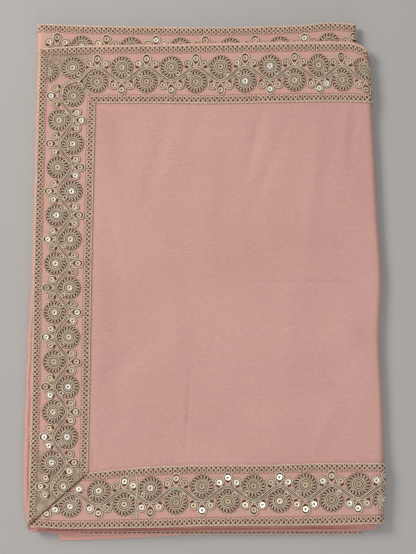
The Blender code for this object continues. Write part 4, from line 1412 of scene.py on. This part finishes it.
def net_material(name, deep, thread):
    """Fine net with a diamond mesh, duller where it lies double."""
    material, tree, shader = new_material(name, 0.7)
    turned = mapped(tree, turn=45)
    bands = []
    for way in ("X", "Y"):
        wave = {"Scale": 230.0, "Distortion": 0.6, "bands_direction": way}
        bands.append(texture(tree, "Wave", turned, **wave))
    mesh = combined(tree, "MAXIMUM", *bands)
    single = ramp_of(tree, mesh, [(0.45, deep), (0.85, thread)])
    double = ramp_of(tree, mesh, [(0.45, DOUBLE_DEEP), (0.85, DOUBLE_THREAD)])
    mottle = texture(tree, "Noise", mapped(tree), Scale=330.0, Detail=3.0)
    mottled = ramp_of(tree, mottle, [(0.35, (0.66, 0.60, 0.52)), (0.62, WHITE)])
    double = multiplied(tree, double, mottled)
    colour = mix_colours(tree, tone_of(tree), single, double)
    finish_material(tree, shader, colour, mesh, 0.5, 0.0003)
    return material


def cord_material():
    """Antique gold cord, twisted from fine threads, with painted shade: browner down its sides by the
    tone.
    """
    material, tree, shader = new_material("gold_cord", 0.4)
    shader.inputs["Specular IOR Level"].default_value = 0.35
    along_cord = add_node(tree, "ShaderNodeUVMap", uv_map="cord").outputs["UV"]
    turned = mapped(tree, along_cord, (1.0, 2.2, 1.0), 40)
    twist = texture(tree, "Wave", turned, Scale=0.55, Distortion=0.8, Detail=1.0)
    patches = texture(tree, "Noise", mapped(tree), Scale=120.0, Detail=2.0)
    strands = ramp_of(tree, twist, [(0.1, CORD_DARK), (0.6, CORD_LIGHT)])
    worn = ramp_of(tree, patches, [(0.3, (0.84, 0.82, 0.80)), (0.65, WHITE)])
    # Painted shade: the tone browns the cord where it faces down or sideways
    sides = ramp_of(tree, tone_of(tree), [(0.1, CORD_SIDE_SHADE), (0.65, WHITE)])
    colour = multiplied(tree, strands, worn, sides)
    finish_material(tree, shader, colour, twist, 0.6, 0.0004)
    return material


def thread_material(name, dark, light, roughness=0.6, grain=2500.0, strength=0.4, depth=0.0002):
    """Plain thread, finely mottled from dark to light."""
    material, tree, shader = new_material(name, roughness)
    fibres = texture(tree, "Noise", mapped(tree), Scale=grain, Detail=2.0)
    colour = ramp_of(tree, fibres, [(0.3, dark), (0.7, light)])
    finish_material(tree, shader, colour, fibres, strength, depth)
    return material


def shade_material(name, dark, light):
    """Painted shade: a dark, finely mottled colour for the sheets that stand in for the shade under
    the cords.
    """
    material = thread_material(name, dark, light, 0.8, 1400.0, 0.5, 0.0003)
    shader = material.node_tree.nodes["Principled BSDF"]
    shader.inputs["Specular IOR Level"].default_value = 0.1
    return material


def sequin_material():
    """Thin metal discs whose gold runs from dull to bright from one to the next, partly their own
    uneven colour and partly painted reflection in the brightest ones.
    """
    material, tree, shader = new_material("sequin_metal", 0.22, 0.32)
    tone = tone_of(tree)
    # The ramp's bright end is painted reflection
    stops = [(0.0, SEQUIN_DULL), (0.55, SEQUIN_GOLD), (1.0, SEQUIN_GLINT_PAINT)]
    colour = ramp_of(tree, tone, stops)
    rough = add_node(tree, "ShaderNodeMapRange", To_Min=0.55, To_Max=0.24)
    tree.links.new(tone, rough.inputs["Value"])
    tree.links.new(rough.outputs["Result"], shader.inputs["Roughness"])
    wear = texture(tree, "Noise", mapped(tree), Scale=900.0, Detail=2.0)
    finish_material(tree, shader, colour, wear, 0.15, 0.0002)
    return material


def lace_materials():
    """The lace's materials in the order of their slot numbers."""
    return [
        net_material("peach_net", NET_DEEP, NET_THREAD),
        cord_material(),
        sequin_material(),
        # Painted shade under the cords
        shade_material("painted_shade", SHADE_DARK, SHADE_LIGHT),
        net_material("double_net", DOUBLE_DEEP, DOUBLE_THREAD),
        # Painted shade under the chains
        shade_material("chain_painted_shade", CHAIN_SHADE_DARK, CHAIN_SHADE_LIGHT),
        thread_material("brown_stitches", STITCH_DARK, STITCH_LIGHT),
    ]


# Floor, light and camera
FLOOR_REACH = 3.0
FLOOR_COLOUR = (0.46, 0.443, 0.418, 1.0)
ROOM_COLOUR = (0.96, 0.97, 1.0, 1.0)
ROOM_STRENGTH = 0.37
# Each light's name, place, aim, size, power and colour, in metres and watts
LIGHTS = [
    ("window", (-1.55, 0.95, 1.45), (0.0, 0.1, 0.0), 1.0, 34.0, (1.0, 0.985, 0.96)),
    ("fill", (0.25, -1.35, 0.55), (0.0, -0.2, 0.0), 0.7, 3.4, (0.90, 0.96, 1.0)),
    ("ceiling", (0.1, -0.4, 3.0), (0.0, -0.15, 0.0), 0.8, 11.0, WHITE),
]
# The camera's tilt from straight down, its distance in metres and its aim in the plan
CAMERA_TILT = 10.0
CAMERA_DISTANCE = 1.5
CAMERA_AIM = [4.15, -4.55, 13.0]
FOCAL_PIXELS = 1468.0
PHOTO_HEIGHT = 554.0
SENSOR = 36.0


def add_floor():
    mesh = bpy.data.meshes.new("floor")
    corners = [(-1, -1), (1, -1), (1, 1), (-1, 1)]
    corners = [(x * FLOOR_REACH, y * FLOOR_REACH, 0.0) for x, y in corners]
    mesh.from_pydata(corners, [], [[0, 1, 2, 3]])
    material, _, shader = new_material("floor_finish", 0.8)
    shader.inputs["Base Color"].default_value = FLOOR_COLOUR
    mesh.materials.append(material)
    floor = add_object("floor", mesh)


def add_room_light():
    world = bpy.data.worlds.new("soft_room")
    world.use_nodes = True
    background = world.node_tree.nodes["Background"]
    background.inputs["Color"].default_value = ROOM_COLOUR
    background.inputs["Strength"].default_value = ROOM_STRENGTH
    bpy.context.scene.world = world
    for light in LIGHTS:
        add_area_light(*light)


def add_area_light(name, place, aim, size, power, colour):
    lamp = bpy.data.lights.new(name, "AREA")
    lamp.shape = "DISK"
    lamp.size = size
    lamp.energy = power
    lamp.color = colour
    obj = add_object(name, lamp)
    obj.location = place
    way = np.array(aim) - np.array(place)
    way = way / np.linalg.norm(way)
    tilt = math.acos(-way[2])
    heading = math.atan2(way[1], way[0]) - PI / 2
    obj.rotation_euler = (tilt, 0.0, heading)


def add_camera():
    tilt = math.radians(CAMERA_TILT)
    aim = (np.array(CAMERA_AIM) + SHIFT) * METRES
    lens = bpy.data.cameras.new("camera")
    lens.lens = SENSOR * FOCAL_PIXELS / PHOTO_HEIGHT
    lens.sensor_width = SENSOR
    obj = add_object("camera", lens)
    back, up = CAMERA_DISTANCE * math.sin(tilt), CAMERA_DISTANCE * math.cos(tilt)
    obj.location = (aim[0], aim[1] - back, aim[2] + up)
    obj.rotation_euler = (tilt, 0.0, 0.0)
    bpy.context.scene.camera = obj


def save_size():
    """Brings the view layer up to date."""
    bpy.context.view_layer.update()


def main():
    save_size()
    cloth = cloth_material()
    lace = lace_materials()
    stole = stole_cloth([cloth])
    far_mitre = mitre_line(far_place, LEFT_EDGE[-1][1])
    near_mitre = mitre_line(near_place, LEFT_EDGE[0][1])
    far_lace = (FAR_MOTIFS, FAR_STRAY, {}, FAR_VINE_FROM, lace)
    far = long_strip("lace_far_work", far_place, far_mitre, 1, *far_lace)
    near_lace = (NEAR_MOTIFS, NEAR_STRAY, NEAR_NUDGES, NEAR_VINE_FROM, lace)
    near = long_strip("lace_near_work", near_place, near_mitre, -1, *near_lace)
    left = left_strip(far_mitre, near_mitre, lace)
    back = back_lace(lace)
    under = under_chain(lace)
    replaced = {
        stole: ("top_layer", "folded_layers"),
        far: ("lace_far",),
        near: ("lace_near",),
        left: ("lace_left",),
        back: ("lace_back",),
        under: ("lace_under",),
    }
    for piece, nodes in replaced.items():
        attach(piece, "root")
        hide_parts(*nodes)
    thread = thread_material("hem_thread", HEM_THREAD_DARK, HEM_THREAD_LIGHT)
    stitches = hem_stitches([thread])
    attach(stitches, "root")
    add_floor()
    add_room_light()
    add_camera()
    bpy.context.scene.view_settings.view_transform = "Standard"
    save_size()


main()
